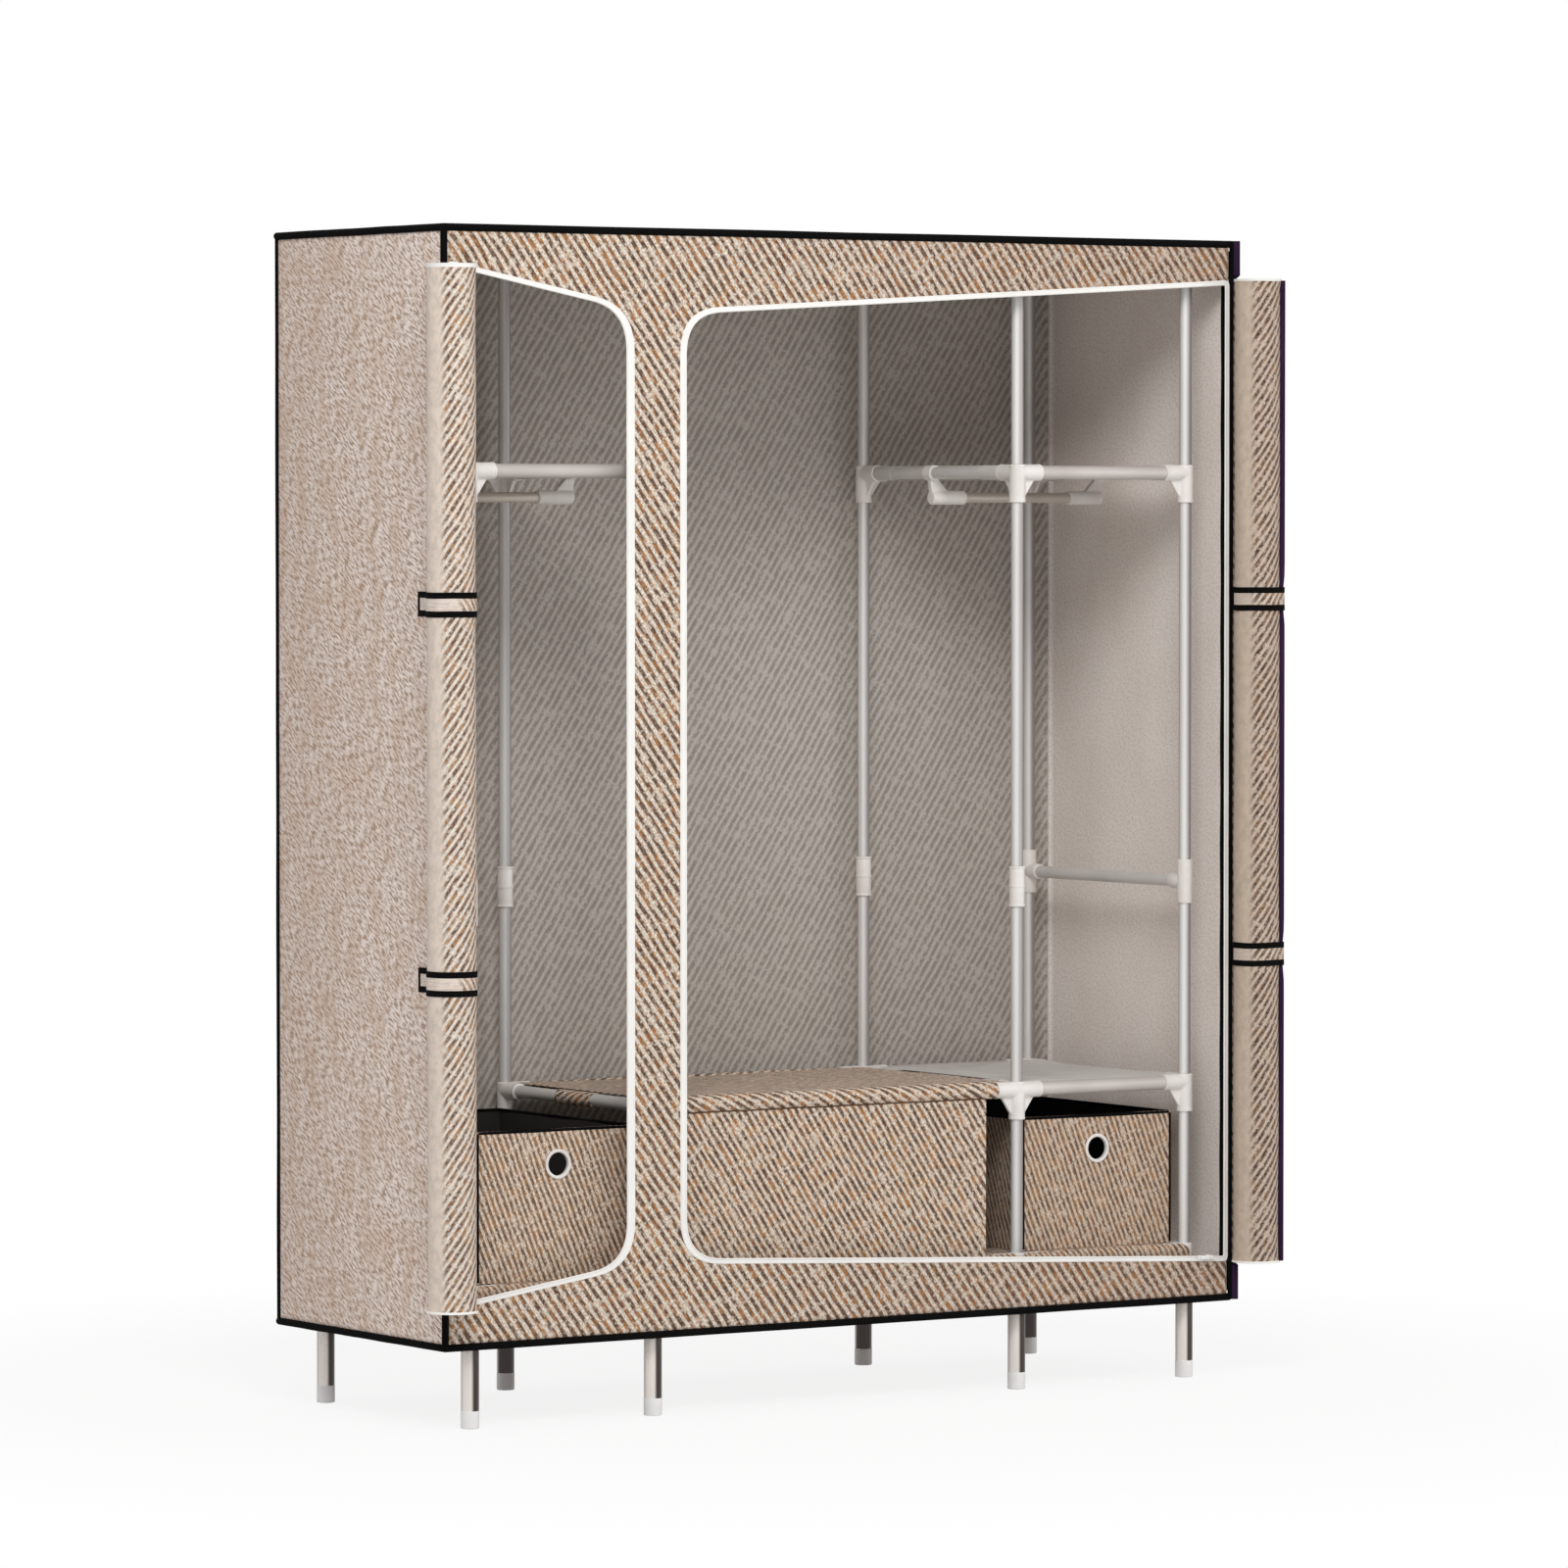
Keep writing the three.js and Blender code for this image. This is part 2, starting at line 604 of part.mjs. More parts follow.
// The bottom sheet lies flush with the connectors, so that the boxes slide over both.
function bottomShelf(name) {
  const top = BOTTOM_SHEET_TOP;
  const bottom = top - FABRIC;
  const hem = CONNECTOR_RADIUS - SHEET_GAP;
  const x = OUTER_POST - CONNECTOR_RADIUS - 2 * FIT;
  const y = POST_DEPTH - CONNECTOR_RADIUS - FIT;
  const clear = ARM_REACH + 2 * FIT;
  const parts = [block(-x, x, -y, y, bottom, top)];
  const columns = [
    [-OUTER_POST, -INNER_POST],
    [-INNER_POST, INNER_POST],
    [INNER_POST, OUTER_POST],
  ];
  for (const [left, right] of columns) {
    const low = left + clear;
    const high = right - clear;
    parts.push(block(low, high, -POST_DEPTH, POST_DEPTH, bottom, top));
    parts.push(sleeve('x', low, high, hem, [-POST_DEPTH, BOTTOM_LEVEL]));
    parts.push(sleeve('x', low, high, hem, [POST_DEPTH, BOTTOM_LEVEL]));
  }
  place(name, join(parts), linen);
}

// Storage boxes

function storageBox(name, side, drop) {
  const middle = (side * (OUTER_POST + INNER_POST)) / 2;
  const half = (OUTER_POST - INNER_POST) / 2 - BOX_SIDE_GAP;
  const x1 = middle - half;
  const x2 = middle + half;
  const y1 = BOX_FRONT_GAP - POST_DEPTH;
  const y2 = y1 + BOX_DEPTH;
  const top = LOWER_LEVEL - drop;
  const rim = top - BINDING_WIDTH;
  const hole = [middle, top - GROMMET_DROP];
  const lip = y1 - GROMMET_LIP;
  const inside = y1 + BOX_WALL + GROMMET_LIP;
  const parts = [
    block(x1, x2, y1, y2, BOX_BOTTOM, top),
    block(x1 - BINDING, x2 + BINDING, y1 - BINDING, y2 + BINDING, rim, top),
  ];
  const hollow = block(
    x1 + BOX_WALL, x2 - BOX_WALL, y1 + BOX_WALL, y2 - BOX_WALL, BOX_BOTTOM + BOX_WALL, top + OVERRUN,
  );
  const shell = cut(join(parts), [hollow]);
  const flange = rod('y', lip, inside, GROMMET_RADIUS, hole, ROUND_FACETS);
  const opening = rod('y', lip - OVERRUN, inside + OVERRUN, GROMMET_HOLE, hole, ROUND_FACETS);
  place(name, cut(shell.add(flange), [opening]), linen);
}

// Assembly

const POST_PLACES = [-OUTER_POST, -INNER_POST, INNER_POST, OUTER_POST];
const OUTER_PLACES = [-OUTER_POST, OUTER_POST];
const LEFT_COLUMN = [-OUTER_POST, -INNER_POST];
const RIGHT_COLUMN = [INNER_POST, OUTER_POST];
const LOWER_PLACES = [-INNER_POST, INNER_POST, OUTER_POST];

POST_PLACES.forEach((x, i) => {
  const coupled = Math.abs(x) === INNER_POST;
  post(`post_front_${i + 1}`, x, -POST_DEPTH, coupled);
  post(`post_back_${i + 1}`, x, POST_DEPTH, coupled);
  depthRail(`rail_top_depth_${i + 1}`, x, TOP_LEVEL);
  depthRail(`rail_upper_depth_${i + 1}`, x, UPPER_LEVEL);
});

for (const [end, facing] of [['front', 1], ['back', -1]]) {
  railRun(`rail_top_${end}`, TOP_LEVEL, POST_PLACES, facing, POST_PLACES);
  railRun(`rail_upper_left_${end}`, UPPER_LEVEL, LEFT_COLUMN, facing, LEFT_COLUMN);
  railRun(`rail_upper_right_${end}`, UPPER_LEVEL, RIGHT_COLUMN, facing, RIGHT_COLUMN);
  railRun(`rail_lower_${end}`, LOWER_LEVEL, LOWER_PLACES, facing, LOWER_PLACES);
  railRun(`rail_bottom_${end}`, BOTTOM_LEVEL, POST_PLACES, facing, OUTER_PLACES);
}

LOWER_PLACES.forEach((x, i) => depthRail(`rail_lower_depth_${i + 2}`, x, LOWER_LEVEL));
depthRail('rail_bottom_depth_left', -OUTER_POST, BOTTOM_LEVEL);
depthRail('rail_bottom_depth_right', OUTER_POST, BOTTOM_LEVEL);
middleBrace('brace_middle_left', -OUTER_POST);
middleBrace('brace_middle_right', OUTER_POST);

hangingRod('hanging_rod_left', ...LEFT_COLUMN, UPPER_LEVEL, SIDE_ROD_SETBACK);
hangingRod('hanging_rod_middle', -INNER_POST, INNER_POST, TOP_LEVEL, 0);
hangingRod('hanging_rod_right', ...RIGHT_COLUMN, UPPER_LEVEL, SIDE_ROD_SETBACK);

frontPanel();
plainPanels();
edgePiping();
zipTape('zip_tape_left', LEFT_DOOR);
zipTape('zip_tape_right', RIGHT_DOOR);
zipSlider('zip_slider_left', LEFT_DOOR);
zipSlider('zip_slider_right', RIGHT_DOOR);

doorRoll('door_roll_left', -1, LEFT_ROLL_OUT, LEFT_TURNS);
doorRoll('door_roll_right', 1, RIGHT_ROLL_OUT, RIGHT_TURNS);
STRAP_HEIGHTS.forEach((height, i) => {
  const level = i === 0 ? 'lower' : 'upper';
  strap(`strap_left_${level}`, -1, LEFT_ROLL_OUT, height);
  strap(`strap_right_${level}`, 1, RIGHT_ROLL_OUT, height);
});

sideShelf('shelf_upper_left', ...LEFT_COLUMN, UPPER_LEVEL);
sideShelf('shelf_upper_right', ...RIGHT_COLUMN, UPPER_LEVEL);
sideShelf('shelf_lower_right', ...RIGHT_COLUMN, LOWER_LEVEL);
middleShelf('shelf_lower_middle');
bottomShelf('shelf_bottom');
storageBox('storage_box_left', -1, LEFT_BOX_DROP);
storageBox('storage_box_right', 1, RIGHT_BOX_DROP);

export default wardrobe;
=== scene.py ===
"""Looks of a portable fabric wardrobe: white tubes in moulded connectors under a printed
linen cover, its two doors rolled up at the front corners, cloth shelves and two storage boxes.
Metres, +Z up, -Y is the front."""

import math

import bmesh
import bpy
import numpy as np
from mathutils import Matrix, Vector, noise


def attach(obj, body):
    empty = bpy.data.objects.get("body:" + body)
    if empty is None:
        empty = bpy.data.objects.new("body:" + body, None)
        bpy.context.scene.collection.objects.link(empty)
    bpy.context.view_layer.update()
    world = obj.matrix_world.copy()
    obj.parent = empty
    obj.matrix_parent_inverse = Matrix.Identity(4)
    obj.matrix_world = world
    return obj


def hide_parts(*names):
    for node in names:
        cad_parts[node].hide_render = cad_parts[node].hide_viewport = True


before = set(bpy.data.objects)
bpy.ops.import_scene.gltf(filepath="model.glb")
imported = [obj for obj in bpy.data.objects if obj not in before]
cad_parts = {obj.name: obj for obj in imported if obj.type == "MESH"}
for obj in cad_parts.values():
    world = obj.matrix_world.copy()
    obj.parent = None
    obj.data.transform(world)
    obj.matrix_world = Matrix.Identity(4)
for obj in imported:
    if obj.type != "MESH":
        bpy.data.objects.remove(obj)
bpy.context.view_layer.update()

# The cover's middle is left of the whole's by this much, because the right roll stands further out
SHIFT = -0.00675

LEFT, RIGHT, FORWARD, BACKWARD, UP = (-1, 0, 0), (1, 0, 0), (0, -1, 0), (0, 1, 0), (0, 0, 1)

# Cover: its outer faces, the radii of its bound edges, how the panels tuck in behind them, and how
# far from them the cloth begins to swell
HALF_WIDTH = 0.688
FRONT = -0.203
BACK = 0.271
TOP = 1.7
HEM = 0.117
CLOTH = 0.0012
TOP_PIPING = 0.0056
HEM_PIPING = 0.0054
CORNER_PIPING = {"front": 0.0050, "back": 0.0035}
PIPING_INSET = 0.0024
SEAM_TAPE = 0.022
PANEL_INSET = 0.0055
TUCK = 0.0040
TUCK_REACH = 0.006
CALM_EDGE = 0.12
EDGE_ROWS = np.array([0, 0.0035, 0.007, 0.0105, 0.016])
WIDTH = 2 * (HALF_WIDTH - PANEL_INSET)
DEPTH = BACK - FRONT - 2 * PANEL_INSET
HEIGHT = TOP - HEM - 2 * PANEL_INSET
LOW = HEM + PANEL_INSET

# Door openings: x of the inner side, the heights of the sloping edges at the inner and the outer
# side, and the tape's reach at the inner side
OPENING_OUTER = 0.6755
OPENING_CORNER = 0.06
OPENING_OUTER_CORNER = 0.004
LEFT_DOOR = {"side": -1, "inner": 0.377, "tape": 0.0077,
             "top": (1.586, 1.644), "bottom": (0.224, 0.179)}
RIGHT_DOOR = {"side": 1, "inner": -0.288, "tape": 0.0051,
              "top": (1.582, 1.638), "bottom": (0.225, 0.180)}
TAPE_OUTWARD = 0.006
TAPE_INWARD = 0.002

# Zips: where the sliders are parked, the radii of the coil and the stitches, and the sliders' sizes
SLIDER_PARK = 0.646
COIL = 0.0011
STITCHES = 0.0004
SLIDER_BASE = (0.015, 0.003, 0.009)
SLIDER_PULL = (0.021, 0.0014, 0.0066)
PULL_HOLE = 0.0016

# Rolled doors and straps; -1 is the left one and 1 the right one
ROLL_RADIUS = 0.0335
ROLL_CORE = 0.0105
ROLL_X = {-1: 0.6955, 1: 0.709}
ROLL_Y = -0.2363
ROLL_BOTTOM = 0.174
ROLL_TOP = 1.645
ROLL_LIP = {-1: 0.0055, 1: 0.0030}
ROLL_FOOT = 0.003
SEAM_X = 0.680
CORD_ANGLE = 322
STRAP_RADIUS = 0.0352
STRAP_WIDTH = 0.035
STRAP_BINDING = 0.0085
STRAP_CLOTH = 0.0013
STRAP_PULL = 0.03
SHADE_CORD_RADIUS = 0.0056
STRAP_SEWN = FRONT + 0.022
STRAP_HEIGHTS = (("lower", 0.637), ("upper", 1.168))

# Frame: radii of its round parts, places of the posts and heights of the rails
TUBE = 0.00925
RAIL = 0.0103
LEG = 0.0130
CONNECTOR = 0.0122
RIM = 0.0002
RIM_WIDTH = 0.004
WEB_REACH = 0.034
HALF_WEB = 0.003
COUPLING = 0.0115
COUPLING_REACH = 0.030
RIDGE = 0.0122
RIDGE_LIFTS = (-0.028, 0, 0.028)
TEE = 0.0118
TEE_REACH = 0.033
TEE_ARM = 0.030
RING = 0.0118
SOCKET = 0.0105
SOCKET_END = 0.058
ROD = 0.00775
FRONT_POSTS = -0.169
BACK_POSTS = 0.237
POST_CENTRE = (FRONT_POSTS + BACK_POSTS) / 2
OUTER_POST = 0.626
INNER_POST = 0.319
TOP_LEVEL = 1.6861
UPPER_LEVEL = 1.356
MIDDLE_LEVEL = 0.745
LOWER_LEVEL = 0.444
BOTTOM_LEVEL = 0.190
LEG_TOP = 0.1457
RAIL_END = 0.0115
CAP_HEIGHT = 0.026
ARM = 0.040
SLEEVE_DROP = 0.044
ROD_DROP = 0.037
MIDDLE_ROD_Y = 0.034
SIDE_ROD_Y = 0.054

# Sizes of the faces that moulded parts are made of
CONNECTOR_SKIN = 0.00125
BRACKET_SKIN = 0.0011

# Cloth shelves: the middle one's cloth hangs in front as an apron between two places
APRON = (-0.277, 0.257)
APRON_LOW = 0.150
APRON_HEM = 0.0135
CREASE_DROP = 0.0106
SHELF_INSET = 0.0128
SIDE_INSET = 0.0135
SIDE_SLEEVES = ((-0.1624, -0.1164), (0.1164, 0.1624))
MIDDLE_SLEEVE = 0.048
ON_TUBE = 0.0012
SIDE_CLOTH = 0.0009
APRON_CLOTH = 0.0011
BOTTOM_CLOTH = 0.0008
ROUND_TUBE = TUBE + 0.0010
BOTTOM_HEM = 0.0133
BOTTOM_INSET = 0.0130

# Storage boxes
BOX_X = 0.4725
BOX_HALF = 0.135
BOX_FRONT = -0.159
BOX_BACK = 0.221
BOX_LOW = 0.2025
BOX_TOP = {-1: 0.419, 1: 0.401}
BOX_WALL = 0.0028
GROMMET_Z = {-1: 0.368, 1: 0.350}
FINGER_HOLE = 0.0172
GROMMET = 0.0192
GROMMET_RIM = 0.0024
GROMMET_BARREL = 0.0176
GROMMET_HOLE = 0.0168
RIM_CORD = 0.0026
CORNER_CORD = 0.0023


# Handling pieces


def pick(*pieces):
    bpy.ops.object.select_all(action="DESELECT")
    for piece in pieces:
        piece.select_set(True)
    bpy.context.view_layer.objects.active = pieces[-1]


def settle(piece, name=None):
    """Puts the piece's place into its mesh, and names it if a name is given."""
    pick(piece)
    bpy.ops.object.transform_apply(location=True, rotation=True, scale=True)
    if name:
        piece.name = name
        piece.data.name = name
    return piece


def joined(pieces, name):
    pick(*pieces)
    if len(pieces) > 1:
        bpy.ops.object.join()
    return settle(bpy.context.object, name)


def on_all(piece, operator, **settings):
    """Runs a mesh operator on the whole piece."""
    pick(piece)
    bpy.ops.object.mode_set(mode="EDIT")
    bpy.ops.mesh.select_all(action="SELECT")
    operator(**settings)
    bpy.ops.object.mode_set(mode="OBJECT")


def turn_outwards(piece):
    on_all(piece, bpy.ops.mesh.normals_make_consistent, inside=False)


def opened(piece, unwanted, cuts):
    """Takes the unwanted faces off the piece and divides the others."""
    pick(piece)
    bpy.ops.object.mode_set(mode="EDIT")
    shape = bmesh.from_edit_mesh(piece.data)
    for face in [f for f in shape.faces if unwanted(f)]:
        shape.faces.remove(face)
    bmesh.update_edit_mesh(piece.data)
    bpy.ops.mesh.select_all(action="SELECT")
    bpy.ops.mesh.subdivide(number_cuts=cuts)
    bpy.ops.object.mode_set(mode="OBJECT")
    return piece


def copy_of(piece, name, move, flip=(1, 1, 1)):
    pick(piece)
    bpy.ops.object.duplicate(linked=False)
    copy = bpy.context.object
    copy.scale = flip
    copy.location = move
    settle(copy, name)
    if flip[0] * flip[1] * flip[2] < 0:
        turn_outwards(copy)
    return copy


def modify(piece, name, kind, **settings):
    """Gives the piece a modifier and applies it."""
    modifier = piece.modifiers.new(name, kind)
    for setting, value in settings.items():
        setattr(modifier, setting, value)
    pick(piece)
    bpy.ops.object.modifier_apply(modifier=modifier.name)


def bevel(piece, width, segments=2):
    modify(piece, "Rounded edges", "BEVEL", width=width, segments=segments,
           limit_method="ANGLE", angle_limit=math.radians(40))


def thicken(cloth, thickness, offset=0):
    modify(cloth, "Cloth thickness", "SOLIDIFY", thickness=thickness, offset=offset,
           use_even_offset=True)


def subtract(piece, tool):
    modify(piece, "Opening", "BOOLEAN", operation="DIFFERENCE", solver="EXACT", object=tool)
    bpy.data.objects.remove(tool)


def moulded(parts, name, fineness):
    """Melts the parts into one body with fillets between them."""
    body = joined(parts, name)
    modify(body, "Moulded skin", "REMESH", mode="VOXEL", voxel_size=fineness)
    modify(body, "Fillets", "SMOOTH", factor=0.5, iterations=4)
    modify(body, "Fewer faces", "DECIMATE", ratio=0.35)
    return body


def points_of(piece):
    points = np.empty(len(piece.data.vertices) * 3)
    piece.data.vertices.foreach_get("co", points)
    return points.reshape(-1, 3)


def set_points(piece, points):
    piece.data.vertices.foreach_set("co", np.asarray(points, dtype=float).ravel())
    piece.data.update()


def reshape(piece, place):
    """Moves each point of the piece to the place that the function gives for it."""
    set_points(piece, [place(*point) for point in points_of(piece)])
    return piece


def change_uv(piece, change):
    """Puts the UV map, as rows of U and V, through the function."""
    layer = piece.data.uv_layers[0].data
    uv = np.empty(len(layer) * 2)
    layer.foreach_get("uv", uv)
    layer.foreach_set("uv", change(uv.reshape(-1, 2)).ravel())


def linked_mesh(name, points, edges, faces):
    mesh = bpy.data.meshes.new(name)
    mesh.from_pydata(points, edges, faces)
    made = bpy.data.objects.new(name, mesh)
    bpy.context.scene.collection.objects.link(made)
    return made


def block(size, place=(0, 0, 0)):
    bpy.ops.mesh.primitive_cube_add(size=1, location=place)
    made = bpy.context.object
    made.scale = size
    return settle(made)


def cylinder(axis, start, end, radius, centre=(0, 0), sides=32):
    """A round bar along an axis between two places on it; centre gives the other two places."""
    middle = (start + end) / 2
    place, turn = {
        "x": ((middle, *centre), (0, math.pi / 2, 0)),
        "y": ((centre[0], middle, centre[1]), (math.pi / 2, 0, 0)),
        "z": ((*centre, middle), (0, 0, 0)),
    }[axis]
    bpy.ops.mesh.primitive_cylinder_add(
        vertices=sides, radius=radius, depth=abs(end - start), location=place, rotation=turn
    )
    return settle(bpy.context.object)


def collar(look, axis, start, end, radius, centre, edge, segments=2):
    """A short round bar with rounded ends."""
    bar = cylinder(axis, start, end, radius, centre)
    bevel(bar, edge, segments)
    return give(bar, look)


def torus(radius, thickness, place, turn, segments):
    bpy.ops.mesh.primitive_torus_add(
        major_radius=radius, minor_radius=thickness, location=place, rotation=turn,
        major_segments=segments[0], minor_segments=segments[1],
    )
    return bpy.context.object


def cord_along(points, radius, closed=False, sides=3):
    """A round sewn cord along a line of points."""
    count = len(points)
    edges = [(i, (i + 1) % count) for i in range(count if closed else count - 1)]
    pick(linked_mesh("line", points, edges, []))
    bpy.ops.object.convert(target="CURVE")
    line = bpy.context.object
    line.data.bevel_depth = radius
    line.data.bevel_resolution = sides
    line.data.use_fill_caps = True
    bpy.ops.object.convert(target="MESH")
    return bpy.context.object


def cloth_grid(width, length, columns, rows):
    """A flat piece of cloth in XY from (0, 0) to (width, length), with its UV map in metres."""
    bpy.ops.mesh.primitive_grid_add(
        x_subdivisions=columns, y_subdivisions=rows, size=1, location=(width / 2, length / 2, 0)
    )
    cloth = bpy.context.object
    cloth.scale = (width, length, 1)
    settle(cloth)
    change_uv(cloth, lambda uv: uv * (width, length))
    return cloth


def along_line(line):
    """A function from a length along a line of points to the place there and its normal."""
    line = np.array(line)
    steps = np.linalg.norm(np.diff(line, axis=0), axis=1)
    lengths = np.concatenate([[0], np.cumsum(steps)])

    def at(s):
        return np.array([np.interp(s, lengths, line[:, axis]) for axis in (0, 1)])

    def place(s):
        dx, dy = at(min(s + 0.001, lengths[-1])) - at(max(s - 0.001, 0))
        size = math.hypot(dx, dy)
        return *at(s), -dy / size, dx / size

    return place, lengths[-1]


def round_point(centre, radius, angle):
    return centre[0] + radius * math.cos(angle), centre[1] + radius * math.sin(angle)


def arc(centre, radius, first, sweep, steps):
    """Points of an arc, with its angles in degrees."""
    angles = [math.radians(first + sweep * i / steps) for i in range(steps + 1)]
    return [round_point(centre, radius, angle) for angle in angles]


def ripple(a, b, size, seed):
    """Soft uneven height between -1 and 1 over a cloth."""
    return noise.noise(Vector((a / size, b / size, seed)))


def give(piece, *materials):
    piece.data.materials.clear()
    for material in materials:
        piece.data.materials.append(material)
    return piece


def give_where(piece, number, chosen):
    """Gives the chosen faces one of the piece's further materials."""
    for face in piece.data.polygons:
        if chosen(face):
            face.material_index = number


def roll_angle(x, y):
    """How far round an upright a direction lies: 0 faces left and back, 1 faces right and front."""
    return ((math.degrees(math.atan2(y, x)) - 148.9) % 360) / 180


def map_turned(piece, x, y, wall=math.inf):
    """Stores on each point how far round the upright at x and y it lies, and 0 behind the wall."""
    turned = piece.data.attributes.new("Turned", "FLOAT", "POINT")
    for i, vertex in enumerate(piece.data.vertices):
        if vertex.co.y < wall:
            turned.data[i].value = roll_angle(vertex.co.x - x, vertex.co.y - y)


def finish_piece(piece, node_name=None, body="wardrobe", degrees=35):
    """Shades the piece, sets it in its place, and tells its body and the solid it shows."""
    pick(piece)
    bpy.ops.object.shade_smooth_by_angle(angle=math.radians(degrees))
    piece.data.transform(Matrix.Translation((SHIFT, 0, 0)))
    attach(piece, body)
    if node_name:
        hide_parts(node_name)
    return piece


# Materials


def new_material(name, roughness):
    material = bpy.data.materials.new(name)
    material.use_nodes = True
    shader = material.node_tree.nodes["Principled BSDF"]
    shader.inputs["Roughness"].default_value = roughness
    return material, material.node_tree, shader


def fill(made, values):
    """Fills a node's sockets: a node or a socket is linked, anything else is the value itself."""
    for key, value in values.items():
        if isinstance(value, bpy.types.Node):
            value = value.outputs[0]
        if isinstance(value, bpy.types.NodeSocket):
            made.id_data.links.new(value, made.inputs[key])
        else:
            made.inputs[key].default_value = value


def node(tree, kind, values=None, **settings):
    made = tree.nodes.new(kind)
    for name, value in settings.items():
        setattr(made, name, value)
    fill(made, values or {})
    return made


def split(vector):
    return node(vector.id_data, "ShaderNodeSeparateXYZ", {0: vector}).outputs


def maths(operation, first, second=None):
    values = {0: first} if second is None else {0: first, 1: second}
    return node(first.id_data, "ShaderNodeMath", values, operation=operation).outputs[0]


def mixed(share, first, second):
    first, second = ((*look, 1) if isinstance(look, tuple) else look for look in (first, second))
    values = {0: share, 6: first, 7: second}
    return node(share.id_data, "ShaderNodeMix", values, data_type="RGBA").outputs[2]


def mapped(vector, scale, turn, move=(0, 0, 0)):
    turned = (0, 0, math.radians(turn))
    values = {"Vector": vector, "Scale": scale, "Rotation": turned, "Location": move}
    return node(vector.id_data, "ShaderNodeMapping", values).outputs[0]


def noise_of(vector, scale, detail=2, roughness=0.5, move=(0, 0, 0)):
    """Noise from 0 to 1; the scale says how fine it is along X, Y and Z."""
    vector = mapped(vector, scale, 0, move)
    values = {"Vector": vector, "Scale": 1, "Detail": detail, "Roughness": roughness}
    return node(vector.id_data, "ShaderNodeTexNoise", values).outputs["Fac"]


def levels(value, low, high, out_low=0.0, out_high=1.0, kind="SMOOTHSTEP"):
    values = {0: value, 1: low, 2: high, 3: out_low, 4: out_high}
    return node(value.id_data, "ShaderNodeMapRange", values, interpolation_type=kind).outputs[0]


def bump(height, distance, strength):
    values = {"Height": height, "Distance": distance, "Strength": strength}
    return node(height.id_data, "ShaderNodeBump", values).outputs[0]


def turned_map(tree):
    return node(tree, "ShaderNodeAttribute", attribute_name="Turned").outputs["Fac"]


def tinted(colour, share):
    return tuple(share * part for part in colour)


def printed_linen(name, mirrored=False, pitch=12.5, turn=-36.3, ink=1.0, cream=(0.81, 0.735, 0.645),
                  shade=(0.41, 0.29, 0.19), brown=(0.055, 0.017, 0.004), orange=(0.31, 0.118, 0.02),
                  shade_to_right=0.0):
    """Cream strands that slant down, with dark lines between them that fade and come back.
    Pitch is in millimetres. Where the last argument is given, the colour grows darker to the right:
    painted shade."""
    material, tree, shader = new_material(name, 0.92)
    uv = node(tree, "ShaderNodeUVMap").outputs[0]
    across = mapped(uv, (-1000 if mirrored else 1000, 1000, 1), turn)
    x, y, _ = split(across)
    wobble = maths("MULTIPLY", noise_of(across, (0.05, 0.02, 1)), pitch * 0.5)
    strand = maths("DIVIDE", maths("ADD", x, wobble), pitch)
    row = maths("FLOOR", strand)
    centred = maths("SUBTRACT", maths("FRACT", strand), 0.5)
    profile = maths("MULTIPLY", maths("ABSOLUTE", centred), 2.0)
    # Each dark line is shifted along its strand by its own amount.
    shift = node(tree, "ShaderNodeTexWhiteNoise", {"W": row}, noise_dimensions="1D").outputs[0]
    along = maths("ADD", y, maths("MULTIPLY", shift, 400.0))
    line = node(tree, "ShaderNodeCombineXYZ", {0: along, 1: row}).outputs[0]
    dash = levels(noise_of(line, (0.115, 7.31, 1), 1.5, 0.6), 0.34, 0.50, 0.28, 1.0)
    fine = noise_of(across, (0.42, 0.25, 1), 3, 0.65)
    cover = maths("MULTIPLY", dash, levels(profile, 0.26, 0.66))
    cover = maths("MULTIPLY", cover, levels(fine, 0.30, 0.54, 0.35, 1.0))
    tone = noise_of(across, (0.11, 0.045, 1), move=(31, 17, 0))
    ground = mixed(levels(fine, 0.36, 0.60), shade, cream)
    print_colour = mixed(levels(tone, 0.46, 0.62), brown, orange)
    colour = mixed(maths("MULTIPLY", cover, ink), ground, print_colour)
    # Painted shade: the colour grows darker towards the cloth's right end.
    if shade_to_right:
        share = levels(split(uv)[0], 0.45, 1.45, 0.03, shade_to_right, "LINEAR")
        colour = mixed(share, colour, (0.14, 0.05, 0.018))
    height = maths("ADD", maths("MULTIPLY", profile, -0.5), noise_of(uv, (1600, 1100, 1)))
    fill(shader, {"Base Color": colour, "Normal": bump(height, 0.0006, 0.35),
                  "Sheen Weight": 0.05, "Sheen Roughness": 0.6})
    return material


